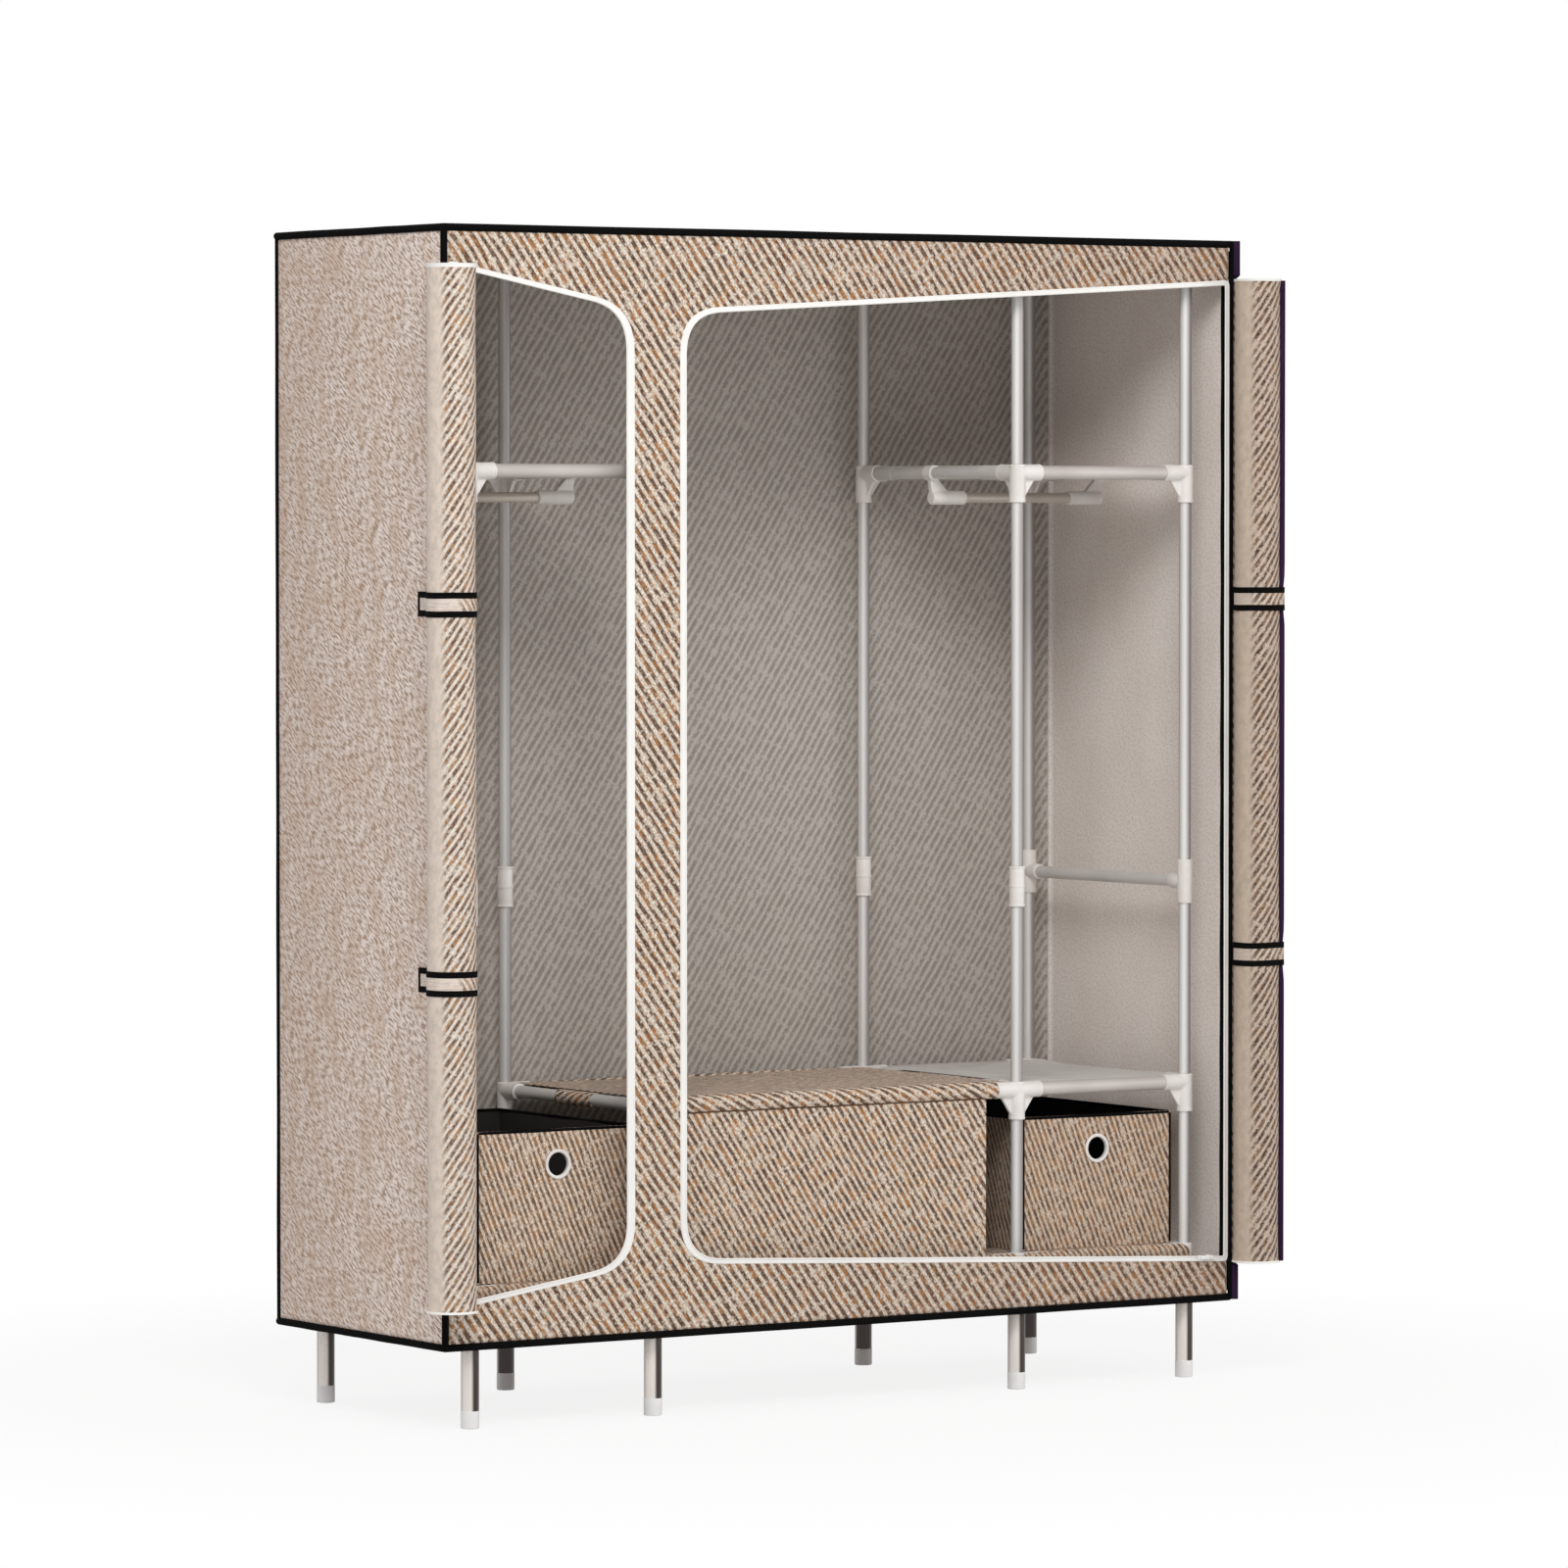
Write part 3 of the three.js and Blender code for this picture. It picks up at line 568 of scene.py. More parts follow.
def pale_linen(name, cream=(0.915, 0.81, 0.76), shade=(0.345, 0.215, 0.135), grain=(0.30, 0.075),
               rust=0.30, fades=0.0):
    """The sides' print: fine slanting flecks and rusty clouds. Where fades is given, the colour
    grows darker to the back."""
    material, tree, shader = new_material(name, 0.94)
    uv = node(tree, "ShaderNodeUVMap").outputs[0]
    flecks = noise_of(mapped(uv, (1000, 1000, 1), -57), (*grain, 1), 3, 0.65)
    fine = noise_of(uv, (520, 420, 1))
    clouds = noise_of(uv, (9, 6, 1), 3)
    spots = noise_of(uv, (34, 12, 1), 3, 0.6)
    colour = mixed(levels(flecks, 0.40, 0.56), shade, cream)
    colour = mixed(levels(fine, 0.3, 0.7, 0.0, 0.2), colour, (0.80, 0.70, 0.64))
    colour = mixed(levels(clouds, 0.35, 0.7, 0.0, 0.15), colour, (0.52, 0.40, 0.31))
    colour = mixed(levels(spots, 0.44, 0.62, 0.0, rust), colour, (0.50, 0.30, 0.17))
    # The colour grows darker towards the back.
    if fades:
        share = levels(split(uv)[0], 0.0, 0.43, fades, 0.0, "LINEAR")
        colour = mixed(share, colour, (0.30, 0.19, 0.12))
    normal = bump(maths("ADD", fine, flecks), 0.0004, 0.2)
    fill(shader, {"Base Color": colour, "Normal": normal, "Sheen Weight": 0.05})
    return material


def roll_linen(name, stripes_from, cream, brown, orange, plain, mirrored=True, lines=0.0):
    """The rolled doors' cloth: plain where the map called Turned is low, then slanting stripes, and
    painted shade where Turned nears 1.
    """
    shade = tinted(cream, 0.68)
    material = printed_linen(name, mirrored, 9.4, -34.0, 1.0, cream, shade, brown, orange)
    tree = material.node_tree
    base = tree.nodes["Principled BSDF"].inputs["Base Color"]
    stripes = base.links[0].from_socket
    turned = turned_map(tree)
    uv = node(tree, "ShaderNodeUVMap").outputs[0]
    flecks = noise_of(uv, (90, 60, 1), 4, 0.7)
    threads = noise_of(uv, (30, 520, 1))
    ground = mixed(levels(flecks, 0.3, 0.65), tinted(plain, 0.80), plain)
    ground = mixed(levels(threads, 0.42, 0.60, 0.0, lines), ground, tinted(plain, 0.55))
    colour = mixed(levels(turned, stripes_from, stripes_from + 0.12), ground, stripes)
    # Painted shade along the right side, where Turned nears 1.
    colour = mixed(levels(turned, 0.55, 1.0, 0.0, 0.22), colour, (0.24, 0.15, 0.09))
    tree.links.new(colour, base)
    return material


def shaded_side(material, shade_from, shade_full, depth, shade, left):
    """Adds painted shade along the right front of an upright, and faintly along its left."""
    tree = material.node_tree
    base = tree.nodes["Principled BSDF"].inputs["Base Color"]
    turned = turned_map(tree)
    rise = levels(turned, shade_from, shade_full, 0.0, depth)
    fall = levels(turned, 1.05, 1.35, 1.0, 0.0)
    share = maths("MAXIMUM", maths("MULTIPLY", rise, fall), levels(turned, 0.12, 0.26, left, 0.0))
    tree.links.new(mixed(share, base.links[0].from_socket, shade), base)
    return material


def plain_cloth(name, light, dark, grain=900.0, roughness=0.9):
    """Plain non-woven cloth with a fine grain."""
    material, tree, shader = new_material(name, roughness)
    place = node(tree, "ShaderNodeTexCoord").outputs["Object"]
    fine = noise_of(place, (grain,) * 3)
    clouds = maths("MULTIPLY", noise_of(place, (14, 14, 14), 3), 0.5)
    share = maths("ADD", maths("MULTIPLY", fine, 0.6), clouds)
    colour = mixed(levels(share, 0.35, 0.75), dark, light)
    fill(shader, {"Base Color": colour, "Normal": bump(fine, 0.0004, 0.4)})
    return material


def moulded_plastic(name, light, dark, roughness=0.42):
    material, tree, shader = new_material(name, roughness)
    place = node(tree, "ShaderNodeTexCoord").outputs["Object"]
    grain = noise_of(place, (700, 700, 700))
    colour = mixed(levels(noise_of(place, (22, 22, 22), 3), 0.35, 0.7), light, dark)
    gloss = levels(grain, 0.3, 0.7, roughness - 0.05, roughness + 0.08, "LINEAR")
    fill(shader, {"Base Color": colour, "Roughness": gloss, "Normal": bump(grain, 0.0002, 0.15)})
    return material


def painted_tube(name, light, dark, roughness):
    """Powder coat: slightly uneven gloss and a fine orange peel."""
    material, tree, shader = new_material(name, roughness)
    place = node(tree, "ShaderNodeTexCoord").outputs["Object"]
    clouds = noise_of(place, (9, 9, 3), 3)
    colour = mixed(levels(clouds, 0.3, 0.7), light, dark)
    gloss = levels(clouds, 0.3, 0.7, roughness - 0.06, roughness + 0.1, "LINEAR")
    peel = bump(noise_of(place, (420, 420, 420)), 0.0002, 0.12)
    fill(shader, {"Base Color": colour, "Roughness": gloss, "Normal": peel,
                  "Metallic": 0.25, "Coat Weight": 0.2})
    return material


LINEN = printed_linen("printed_linen")
LINEN_FRONT = printed_linen("printed_linen_front", shade_to_right=0.36)
LINEN_INSIDE = printed_linen(
    "printed_linen_seen_through", pitch=11.7, turn=-33.6, ink=0.8, cream=(0.53, 0.49, 0.45),
    shade=(0.44, 0.40, 0.36), brown=(0.21, 0.18, 0.15), orange=(0.27, 0.23, 0.19),
)
LINEN_APRON = printed_linen("printed_linen_apron", pitch=10.4, turn=-33.6,
                            cream=(0.77, 0.68, 0.585))
# The left box's copy is lighter, painted light against the shade on its right part; the right box's
# copy is darker.
LINEN_BOX = {
    side: printed_linen(name, pitch=9.0, turn=-23.0, ink=0.97, cream=cream,
                        shade=(0.39, 0.275, 0.19), brown=(0.08, 0.032, 0.011),
                        orange=(0.28, 0.12, 0.03))
    for side, name, cream in ((-1, "printed_linen_left_box", (0.79, 0.67, 0.555)),
                              (1, "printed_linen_right_box", (0.65, 0.54, 0.44)))
}
# The right roll's copy has darker colours than the left's: painted shade.
LINEN_ROLL = {
    -1: roll_linen("printed_linen_left_roll", 0.33, (0.80, 0.71, 0.62), (0.12, 0.05, 0.02),
                   (0.33, 0.165, 0.06), (0.72, 0.61, 0.52)),
    1: roll_linen("printed_linen_right_roll", 0.35, (0.60, 0.48, 0.39), (0.05, 0.02, 0.01),
                  (0.17, 0.08, 0.03), (0.57, 0.46, 0.365)),
}
STRAP_LINEN = {
    -1: roll_linen("strap_linen_left", 0.55, (0.78, 0.68, 0.60), (0.20, 0.11, 0.06),
                   (0.40, 0.24, 0.12), (0.77, 0.66, 0.58), False, 0.45),
    1: roll_linen("strap_linen_right", 0.36, (0.66, 0.55, 0.46), (0.10, 0.055, 0.03),
                  (0.24, 0.13, 0.06), (0.62, 0.51, 0.43), True, 0.3),
}
PALE = pale_linen("pale_linen")
PALE_LEFT = pale_linen("pale_linen_left", fades=0.30)
PALE_INSIDE = pale_linen("pale_linen_inside", (0.86, 0.80, 0.755), (0.72, 0.65, 0.60),
                         (0.32, 0.20), 0.0)
GREY = plain_cloth("grey_shelf_cloth", (0.66, 0.64, 0.61), (0.52, 0.50, 0.47))
BLACK = plain_cloth("black_binding", (0.0050, 0.0045, 0.0045), (0.0030, 0.0030, 0.0030),
                    1400.0, 0.95)
# Dark purple cloth: painted shade along the right roll's edge and on the side of the front right
# cord.
EDGE_SHADE_CLOTH = plain_cloth("edge_painted_shade", (0.036, 0.016, 0.046), (0.020, 0.009, 0.026),
                           1400.0, 0.95)
# The black binding and the cloth of painted shade get little gloss.
for binding in (BLACK, EDGE_SHADE_CLOTH):
    fill(binding.node_tree.nodes["Principled BSDF"], {"Specular IOR Level": 0.05})
BOX_INSIDE_SHADE = plain_cloth("box_inside_painted_shade", (0.020, 0.017, 0.015), (0.010, 0.009, 0.008))
CREASE_SHADE = plain_cloth("crease_painted_shade", (0.10, 0.048, 0.018), (0.05, 0.022, 0.008), 900.0, 0.95)
TAPE = plain_cloth("white_tape", (0.90, 0.88, 0.85), (0.80, 0.78, 0.75), 1500.0, 0.7)
PLASTIC = moulded_plastic("white_plastic", (0.78, 0.74, 0.71), (0.71, 0.67, 0.64))
SLIDER = moulded_plastic("zip_slider_white", (0.86, 0.85, 0.83), (0.76, 0.75, 0.73), 0.3)
CAP = moulded_plastic("foot_cap_plastic", (0.84, 0.83, 0.82), (0.78, 0.77, 0.76), 0.4)
STEEL = painted_tube("painted_steel", (0.70, 0.68, 0.66), (0.62, 0.60, 0.58), 0.42)
RAIL_STEEL = painted_tube("painted_rail", (0.55, 0.505, 0.475), (0.49, 0.45, 0.42), 0.55)
# The rods' colours are darkened: painted shade.
ROD_STEEL = painted_tube("painted_rod", (0.56, 0.50, 0.44), (0.46, 0.41, 0.36), 0.4)
# The posts carry painted shade along their right front, and faintly along their left.
POST_STEEL = shaded_side(
    painted_tube("painted_post", (0.76, 0.745, 0.73), (0.68, 0.665, 0.65), 0.42),
    0.44, 0.72, 0.62, (0.10, 0.065, 0.070), 0.25,
)
# The legs carry painted shade along their right front; the copy for the legs behind has a wide band
# of it.
LEG_STEEL = {
    where: shaded_side(
        painted_tube(f"leg_steel_{where}", (0.82, 0.76, 0.71), (0.76, 0.70, 0.65), 0.3),
        shade_from, shade_from + 0.12, 1.0, (0.026, 0.012, 0.007), 0.4,
    )
    for where, shade_from in (("outside", 0.53), ("behind", 0.10))
}


# Posts


def post(name, x, y, coupled):
    at = (x, y)
    # The back legs, but for the outer left one, take the copy with the wide band of painted shade.
    steel = LEG_STEEL["behind" if y > 0 and x > -OUTER_POST else "outside"]
    parts = [
        give(cylinder("z", LEG_TOP - 0.01, TOP_LEVEL + 0.008, TUBE, at), POST_STEEL),
        collar(steel, "z", 0.004, LEG_TOP, LEG, at, 0.0012),
        collar(CAP, "z", 0, CAP_HEIGHT, LEG + 0.0003, at, 0.0016, 3),
    ]
    if coupled:
        low, high = MIDDLE_LEVEL - COUPLING_REACH, MIDDLE_LEVEL + COUPLING_REACH
        parts.append(collar(PLASTIC, "z", low, high, COUPLING, at, 0.0016))
        for lift in RIDGE_LIFTS:
            z = MIDDLE_LEVEL + lift
            parts.append(collar(PLASTIC, "z", z - 0.002, z + 0.002, RIDGE, at, 0.0006, 1))
    piece = joined(parts[::-1], name.replace("post", "tube_post"))
    map_turned(piece, x, y)
    finish_piece(piece, name)


# Connectors, each kind modelled once at the origin


def wedge(corner):
    """A plate made of a cube's eight corners, each moved to where the function says."""
    plate = reshape(block((1, 1, 1)), corner)
    turn_outwards(plate)
    return plate


def gusset(sign, axis):
    """The web below an arm: a triangular plate."""
    low, high = -SLEEVE_DROP + 0.002, -0.004

    def corner(x, y, z):
        reach = WEB_REACH if z > 0 else CONNECTOR
        a = (0.004 if x < 0 else reach) * sign
        b = math.copysign(HALF_WEB, y)
        height = high if z > 0 else (low if x < 0 else low + 0.006)
        return (a, b, height) if axis == "x" else (b, a, height)

    return wedge(corner)


def connector(arms, webbed):
    """A sleeve with an arm each way that is asked for, and a thin rim at every end."""
    ways = [(arm[1], 1 if arm[0] == "+" else -1) for arm in arms]
    parts = [cylinder("z", -SLEEVE_DROP, CONNECTOR, CONNECTOR)]
    for axis, sign in ways:
        parts.append(cylinder(axis, 0, sign * ARM, CONNECTOR))
        if webbed:
            parts.append(gusset(sign, axis))
    pieces = [give(moulded(parts, "connector", CONNECTOR_SKIN), PLASTIC)]
    ends = [(axis, sign * (ARM - RIM_WIDTH), sign * (ARM + RIM)) for axis, sign in ways]
    for axis, start, end in (*ends, ("z", -SLEEVE_DROP - RIM, -SLEEVE_DROP + RIM_WIDTH)):
        pieces.append(collar(PLASTIC, axis, start, end, CONNECTOR + RIM, (0, 0), 0.0007))
    return joined(pieces[::-1], "connector")


KINDS = {}


def placed_connector(arms, webbed, x, y, level):
    """A copy of the right kind of connector; arms are named like +x or -y."""
    flip_x = "-x" in arms and "+x" not in arms
    flip = (-1 if flip_x else 1, -1 if "-y" in arms else 1, 1)
    plain = ["+" + arm[1] if flip_x or arm[1] == "y" else arm for arm in arms]
    key = (tuple(sorted(plain)), webbed)
    if key not in KINDS:
        KINDS[key] = connector(*key)
    return copy_of(KINDS[key], "connector", (x, y, level), flip)


def rail_run(node_name, level, posts, end, depth_posts, webbed):
    """A rail along the width with a connector at each of its posts."""
    y, inward = (FRONT_POSTS, "+y") if end == "front" else (BACK_POSTS, "-y")
    parts = [give(cylinder("x", posts[0], posts[-1], RAIL, (y, level)), RAIL_STEEL)]
    for x in posts:
        ways = (("-x", x > posts[0]), ("+x", x < posts[-1]), (inward, x in depth_posts))
        parts.append(placed_connector([arm for arm, wanted in ways if wanted], webbed, x, y, level))
    piece = joined(parts[::-1], node_name.replace("rail", "tube_rail"))
    finish_piece(piece, node_name, degrees=50)


def depth_rail(node_name, x, level):
    rail = cylinder("y", FRONT_POSTS + RAIL_END, BACK_POSTS - RAIL_END, TUBE, (x, level))
    settle(give(rail, STEEL), node_name.replace("rail", "tube_rail"))
    finish_piece(rail, node_name)


def middle_brace(node_name, x):
    """A rail along the depth with a tee round the post at each end."""
    parts = [give(cylinder("y", FRONT_POSTS, BACK_POSTS, TUBE, (x, MIDDLE_LEVEL)), STEEL)]
    for y, inward in ((FRONT_POSTS, 1), (BACK_POSTS, -1)):
        low, high = MIDDLE_LEVEL - TEE_REACH, MIDDLE_LEVEL + TEE_REACH
        parts.append(collar(PLASTIC, "z", low, high, TEE, (x, y), 0.0014))
        parts.append(collar(PLASTIC, "y", y, y + inward * TEE_ARM, TEE, (x, MIDDLE_LEVEL), 0.0014))
    piece = joined(parts[::-1], node_name.replace("brace", "tube_brace"))
    finish_piece(piece, node_name)


POSTS = (-OUTER_POST, -INNER_POST, INNER_POST, OUTER_POST)
LEFT_COLUMN = POSTS[:2]
RIGHT_COLUMN = POSTS[2:]
LOWER_POSTS = POSTS[1:]

for i, x in enumerate(POSTS, 1):
    coupled = abs(x) == INNER_POST
    post(f"post_front_{i}", x, FRONT_POSTS, coupled)
    post(f"post_back_{i}", x, BACK_POSTS, coupled)
    depth_rail(f"rail_top_depth_{i}", x, TOP_LEVEL)
    depth_rail(f"rail_upper_depth_{i}", x, UPPER_LEVEL)
for i, x in enumerate(LOWER_POSTS, 2):
    depth_rail(f"rail_lower_depth_{i}", x, LOWER_LEVEL)
depth_rail("rail_bottom_depth_left", -OUTER_POST, BOTTOM_LEVEL)
depth_rail("rail_bottom_depth_right", OUTER_POST, BOTTOM_LEVEL)
for end in ("front", "back"):
    rail_run(f"rail_top_{end}", TOP_LEVEL, POSTS, end, POSTS, False)
    rail_run(f"rail_upper_left_{end}", UPPER_LEVEL, LEFT_COLUMN, end, LEFT_COLUMN, True)
    rail_run(f"rail_upper_right_{end}", UPPER_LEVEL, RIGHT_COLUMN, end, RIGHT_COLUMN, True)
    rail_run(f"rail_lower_{end}", LOWER_LEVEL, LOWER_POSTS, end, LOWER_POSTS, True)
    rail_run(f"rail_bottom_{end}", BOTTOM_LEVEL, POSTS, end, (-OUTER_POST, OUTER_POST), False)
middle_brace("brace_middle_left", -OUTER_POST)
middle_brace("brace_middle_right", OUTER_POST)


# Hanging rods


def rod_bracket():
    """The bracket at a rod's left end: a ring on the depth rail, a strut and the rod's socket."""
    ring = cylinder("y", -0.010, 0.010, RING)
    socket = cylinder("x", -0.002, SOCKET_END, SOCKET, (0, -ROD_DROP))

    def corner(x, y, z):
        left, right = (-0.006, 0.006) if z > 0 else (-0.0015, 0.036)
        return right if x > 0 else left, math.copysign(0.0045, y), -0.006 if z > 0 else -ROD_DROP

    return give(moulded([ring, socket, wedge(corner)], "rod_bracket", BRACKET_SKIN), PLASTIC)


BRACKET = rod_bracket()


def hanging_rod(node_name, body, x1, x2, y, level):
    bar = give(cylinder("x", x1, x2, ROD, (y, level - ROD_DROP)), ROD_STEEL)
    left = copy_of(BRACKET, "bracket", (x1, y, level))
    right = copy_of(BRACKET, "bracket", (x2, y, level), (-1, 1, 1))
    piece = joined([left, right, bar], node_name.replace("hanging_rod", "rod"))
    finish_piece(piece, node_name, body, 50)


hanging_rod("hanging_rod_left", "left_rod", *LEFT_COLUMN, SIDE_ROD_Y, UPPER_LEVEL)
hanging_rod("hanging_rod_middle", "middle_rod", -INNER_POST, INNER_POST, MIDDLE_ROD_Y, TOP_LEVEL)
hanging_rod("hanging_rod_right", "right_rod", *RIGHT_COLUMN, SIDE_ROD_Y, UPPER_LEVEL)
for kind in (*KINDS.values(), BRACKET):
    bpy.data.objects.remove(kind)


# Cover


def edge_height(door, edge, x):
    """Height of an opening's sloping edge at x."""
    inner, outer = door["side"] * door["inner"], door["side"] * OPENING_OUTER
    share = (x - inner) / (outer - inner)
    low, high = door[edge]
    return low + share * (high - low)


def door_outline(door, grow, inward=0.0):
    """The opening's outline in XZ, counter-clockwise, moved outwards by grow, and its inner side by
    inward less."""
    outer = door["side"] * (OPENING_OUTER + grow)
    inner = door["side"] * (door["inner"] - grow + inward)
    corners = [
        (outer, edge_height(door, "top", outer) + grow, OPENING_OUTER_CORNER + grow),
        (inner, edge_height(door, "top", inner) + grow, OPENING_CORNER + grow),
        (inner, edge_height(door, "bottom", inner) - grow, OPENING_CORNER + grow),
        (outer, edge_height(door, "bottom", outer) - grow, OPENING_OUTER_CORNER + grow),
    ]
    if door["side"] < 0:
        corners.reverse()
    outline = []
    for i, (x, z, reach) in enumerate(corners):
        corner = Vector((x, z))
        before = Vector(corners[i - 1][:2]) - corner
        after = Vector(corners[(i + 1) % 4][:2]) - corner
        start = corner + before.normalized() * reach
        end = corner + after.normalized() * reach
        for step in range(11):
            t = step / 10
            outline.append((1 - t) ** 2 * start + 2 * t * (1 - t) * corner + t * t * end)
    return outline


def at_depth(outline, y):
    return [(point[0], y, point[1]) for point in outline]


def prism(outline, low, high):
    """A closed outline in XZ, extruded along Y."""
    solid = linked_mesh("prism", at_depth(outline, low), [], [list(range(len(outline)))])
    along_y = {"value": (0, high - low, 0)}
    on_all(solid, bpy.ops.mesh.extrude_region_move, TRANSFORM_OT_translate=along_y)
    turn_outwards(solid)
    return solid


def crowd_edges(cloth, width, length):
    """Moves the outer rows of a flat cloth close to its edges, for the tuck behind the piping."""
    points = points_of(cloth)
    for axis, size in ((0, width), (1, length)):
        places = np.unique(np.round(points[:, axis], 6))
        wanted = places.copy()
        wanted[:5] = EDGE_ROWS
        wanted[-5:] = size - EDGE_ROWS[::-1]
        wanted[4:-4] = np.linspace(EDGE_ROWS[-1], size - EDGE_ROWS[-1], len(places) - 8)
        points[:, axis] = np.interp(points[:, axis], places, wanted)
    set_points(cloth, points)
    corners = np.empty(len(cloth.data.loops), dtype=int)
    cloth.data.loops.foreach_get("vertex_index", corners)
    change_uv(cloth, lambda uv: points[corners, :2])


def cover_cloth(name, node_name, size, grid, lie, swell, seed, looks, doors=()):
    """A panel of the cover, tucked in behind the piping along its edges. It lies from a corner
    along two directions, and its outside looks the third way."""
    width, length = size
    corner, across, along, outward = np.array(lie, dtype=float)
    cloth = cloth_grid(width, length, *grid)
    crowd_edges(cloth, width, length)

    def place(u, v, _):
        edge = min(u, width - u, v, length - v)
        calm = min(1, edge / CALM_EDGE)
        waves = ripple(u, v * 0.45, 0.22, seed) + 0.35 * ripple(u, v, 0.07, seed + 5)
        height = swell * calm * waves
        height -= TUCK * max(0, 1 - edge / TUCK_REACH) ** 2
        return corner + u * across + v * along + height * outward

    settle(reshape(cloth, place), name)
    thicken(cloth, CLOTH, -1)
    for door in doors:
        subtract(cloth, prism(door_outline(door, 0), FRONT - 0.02, FRONT + 0.02))
    give(cloth, *looks)
    give_where(cloth, 1, lambda face: face.normal.dot(Vector(outward)) < -0.3)
    return finish_piece(cloth, node_name)


front = cover_cloth("front_cloth", "cover_front", (WIDTH, HEIGHT), (130, 150),
                    ((-WIDTH / 2, FRONT, LOW), RIGHT, UP, FORWARD), 0.0012, 3,
                    (LINEN_FRONT, LINEN_INSIDE), (LEFT_DOOR, RIGHT_DOOR))

for name, node_name, width, columns, lie, seed, looks in (
    ("back_cloth", "cover_back", WIDTH, 110,
     ((WIDTH / 2, BACK, LOW), LEFT, UP, BACKWARD), 11, (PALE, LINEN_INSIDE)),
    ("left_side_cloth", "cover_side_left", DEPTH, 44,
     ((-HALF_WIDTH, BACK - PANEL_INSET, LOW), FORWARD, UP, LEFT), 17, (PALE_LEFT, PALE_INSIDE)),
    ("right_side_cloth", "cover_side_right", DEPTH, 44,
     ((HALF_WIDTH, FRONT + PANEL_INSET, LOW), BACKWARD, UP, RIGHT), 23, (PALE, PALE_INSIDE)),
):
    cloth = cover_cloth(name, node_name, (width, HEIGHT), (columns, 150), lie, 0.0025,
                        seed, looks)

roof = cover_cloth("roof_cloth", "cover_top", (WIDTH, DEPTH), (130, 46),
                   ((-WIDTH / 2, FRONT + PANEL_INSET, TOP), RIGHT, BACKWARD, UP), 0.0006, 29,
                   (LINEN, PALE_INSIDE))


def edge_points(start, end, count, seed):
    """Points of an edge that wanders by a little, as sewn edges do."""
    points = []
    for i in range(count + 1):
        t = i / count
        calm = min(1, 8 * t, 8 * (1 - t))
        point = Vector(start).lerp(Vector(end), t)
        for axis in range(3):
            point[axis] += 0.0006 * calm * noise.noise(Vector((t * 7, seed, axis * 3.1)))
        points.append(point)
    return points


def standing_seam(x, y, low, high):
    """The right front seam: a cord behind the roll, and a flap that stands out beyond its ends."""
    edge = edge_points((x, y, low - 0.003), (x, y, high + 0.005), 400, 51)
    cord = cord_along(edge, CORNER_PIPING["front"])
    points = points_of(cord)
    out = np.array((math.sqrt(0.5), -math.sqrt(0.5)))
    clear = np.maximum(ROLL_BOTTOM - points[:, 2], points[:, 2] - ROLL_TOP)
    spread = (points[:, :2] - (x, y)) @ out
    points[:, :2] += np.outer(np.clip(clear / 0.004, 0, 1) * (0.65 * spread + 0.0065), out)
    set_points(cord, points)
    return cord


def right_front_seam(face):
    return face.center.x > HALF_WIDTH - 0.0005 and face.center.y < FRONT + 0.01


def inner_back_cord(face):
    """Tells the faces of the back's cords that look into the wardrobe."""
    x, y, z = face.center
    inside = y > BACK - 0.012 and face.normal.y < 0.1 and face.normal.x * x < 0.1
    return inside and (face.normal.z < 0.1 or z < TOP - 0.012)


def cover_piping():
    """The bound edges of the cover, and the tapes that close its front corners inside."""
    x, low, high = HALF_WIDTH - PIPING_INSET, HEM + PIPING_INSET, TOP - PIPING_INSET
    y1, y2 = FRONT + PIPING_INSET, BACK - PIPING_INSET
    corners = ((-x, y1), (x, y1), (x, y2), (-x, y2))
    parts = []
    for seed, z, radius in ((10, low, HEM_PIPING), (20, high, TOP_PIPING)):
        points = []
        for i, corner in enumerate(corners):
            points += edge_points((*corner, z), (*corners[(i + 1) % 4], z), 24, seed + i)[:-1]
        parts.append(cord_along(points, radius, True))
    for i, corner in enumerate(corners):
        if i == 1:
            parts.append(standing_seam(*corner, low, high))
        else:
            points = edge_points((*corner, low), (*corner, high), 30, 50 + i)
            parts.append(cord_along(points, CORNER_PIPING["front" if i == 0 else "back"]))
    for side in (-1, 1):
        tape = reshape(
            cloth_grid(SEAM_TAPE, high - low - 0.02, 4, 60),
            lambda a, b, _: (side * (HALF_WIDTH - 0.0030 - 0.0004 * math.sin(b * 40)),
                             FRONT + 0.0024 + a, low + 0.01 + b),
        )
        thicken(tape, 0.0008)
        parts.append(tape)
    piece = give(joined(parts, "cover_piping_cord"), BLACK, EDGE_SHADE_CLOTH, GREY)
    # The right side of the front right cord takes the dark purple of painted shade.
    give_where(piece, 1, right_front_seam)
    give_where(piece, 2, inner_back_cord)
    finish_piece(piece, "cover_piping", degrees=60)


cover_piping()


# Zips


def zip_tape(name, node_name, door):
    """The tape round an opening, with its coil and the seam that holds it."""
    wider = door["tape"] - TAPE_INWARD
    outer = door_outline(door, TAPE_OUTWARD)
    inner = door_outline(door, -TAPE_INWARD, wider)
    y, count = FRONT - 0.0003, len(outer)
    faces = [(i, (i + 1) % count, count + (i + 1) % count, count + i) for i in range(count)]
    tape = linked_mesh(name, at_depth(outer + inner, y), [], faces)
    thicken(tape, 0.0009, 1)
    turn_outwards(tape)
    outside = y - 0.0010
    coil = door_outline(door, -TAPE_INWARD + 0.0015, wider)
    seam = door_outline(door, TAPE_OUTWARD - 0.0016)
    coil = cord_along(at_depth(coil, outside), COIL, True, 2)
    stitches = cord_along(at_depth(seam, outside), STITCHES, True, 1)
    piece = give(joined([coil, stitches, tape], name), TAPE)
    finish_piece(piece, node_name)


def tapered(size, place, beyond, share):
    """A block that is less high to the right of an x place."""
    return reshape(block(size, place), lambda x, y, z: (x, y, z * share if x > beyond else z))


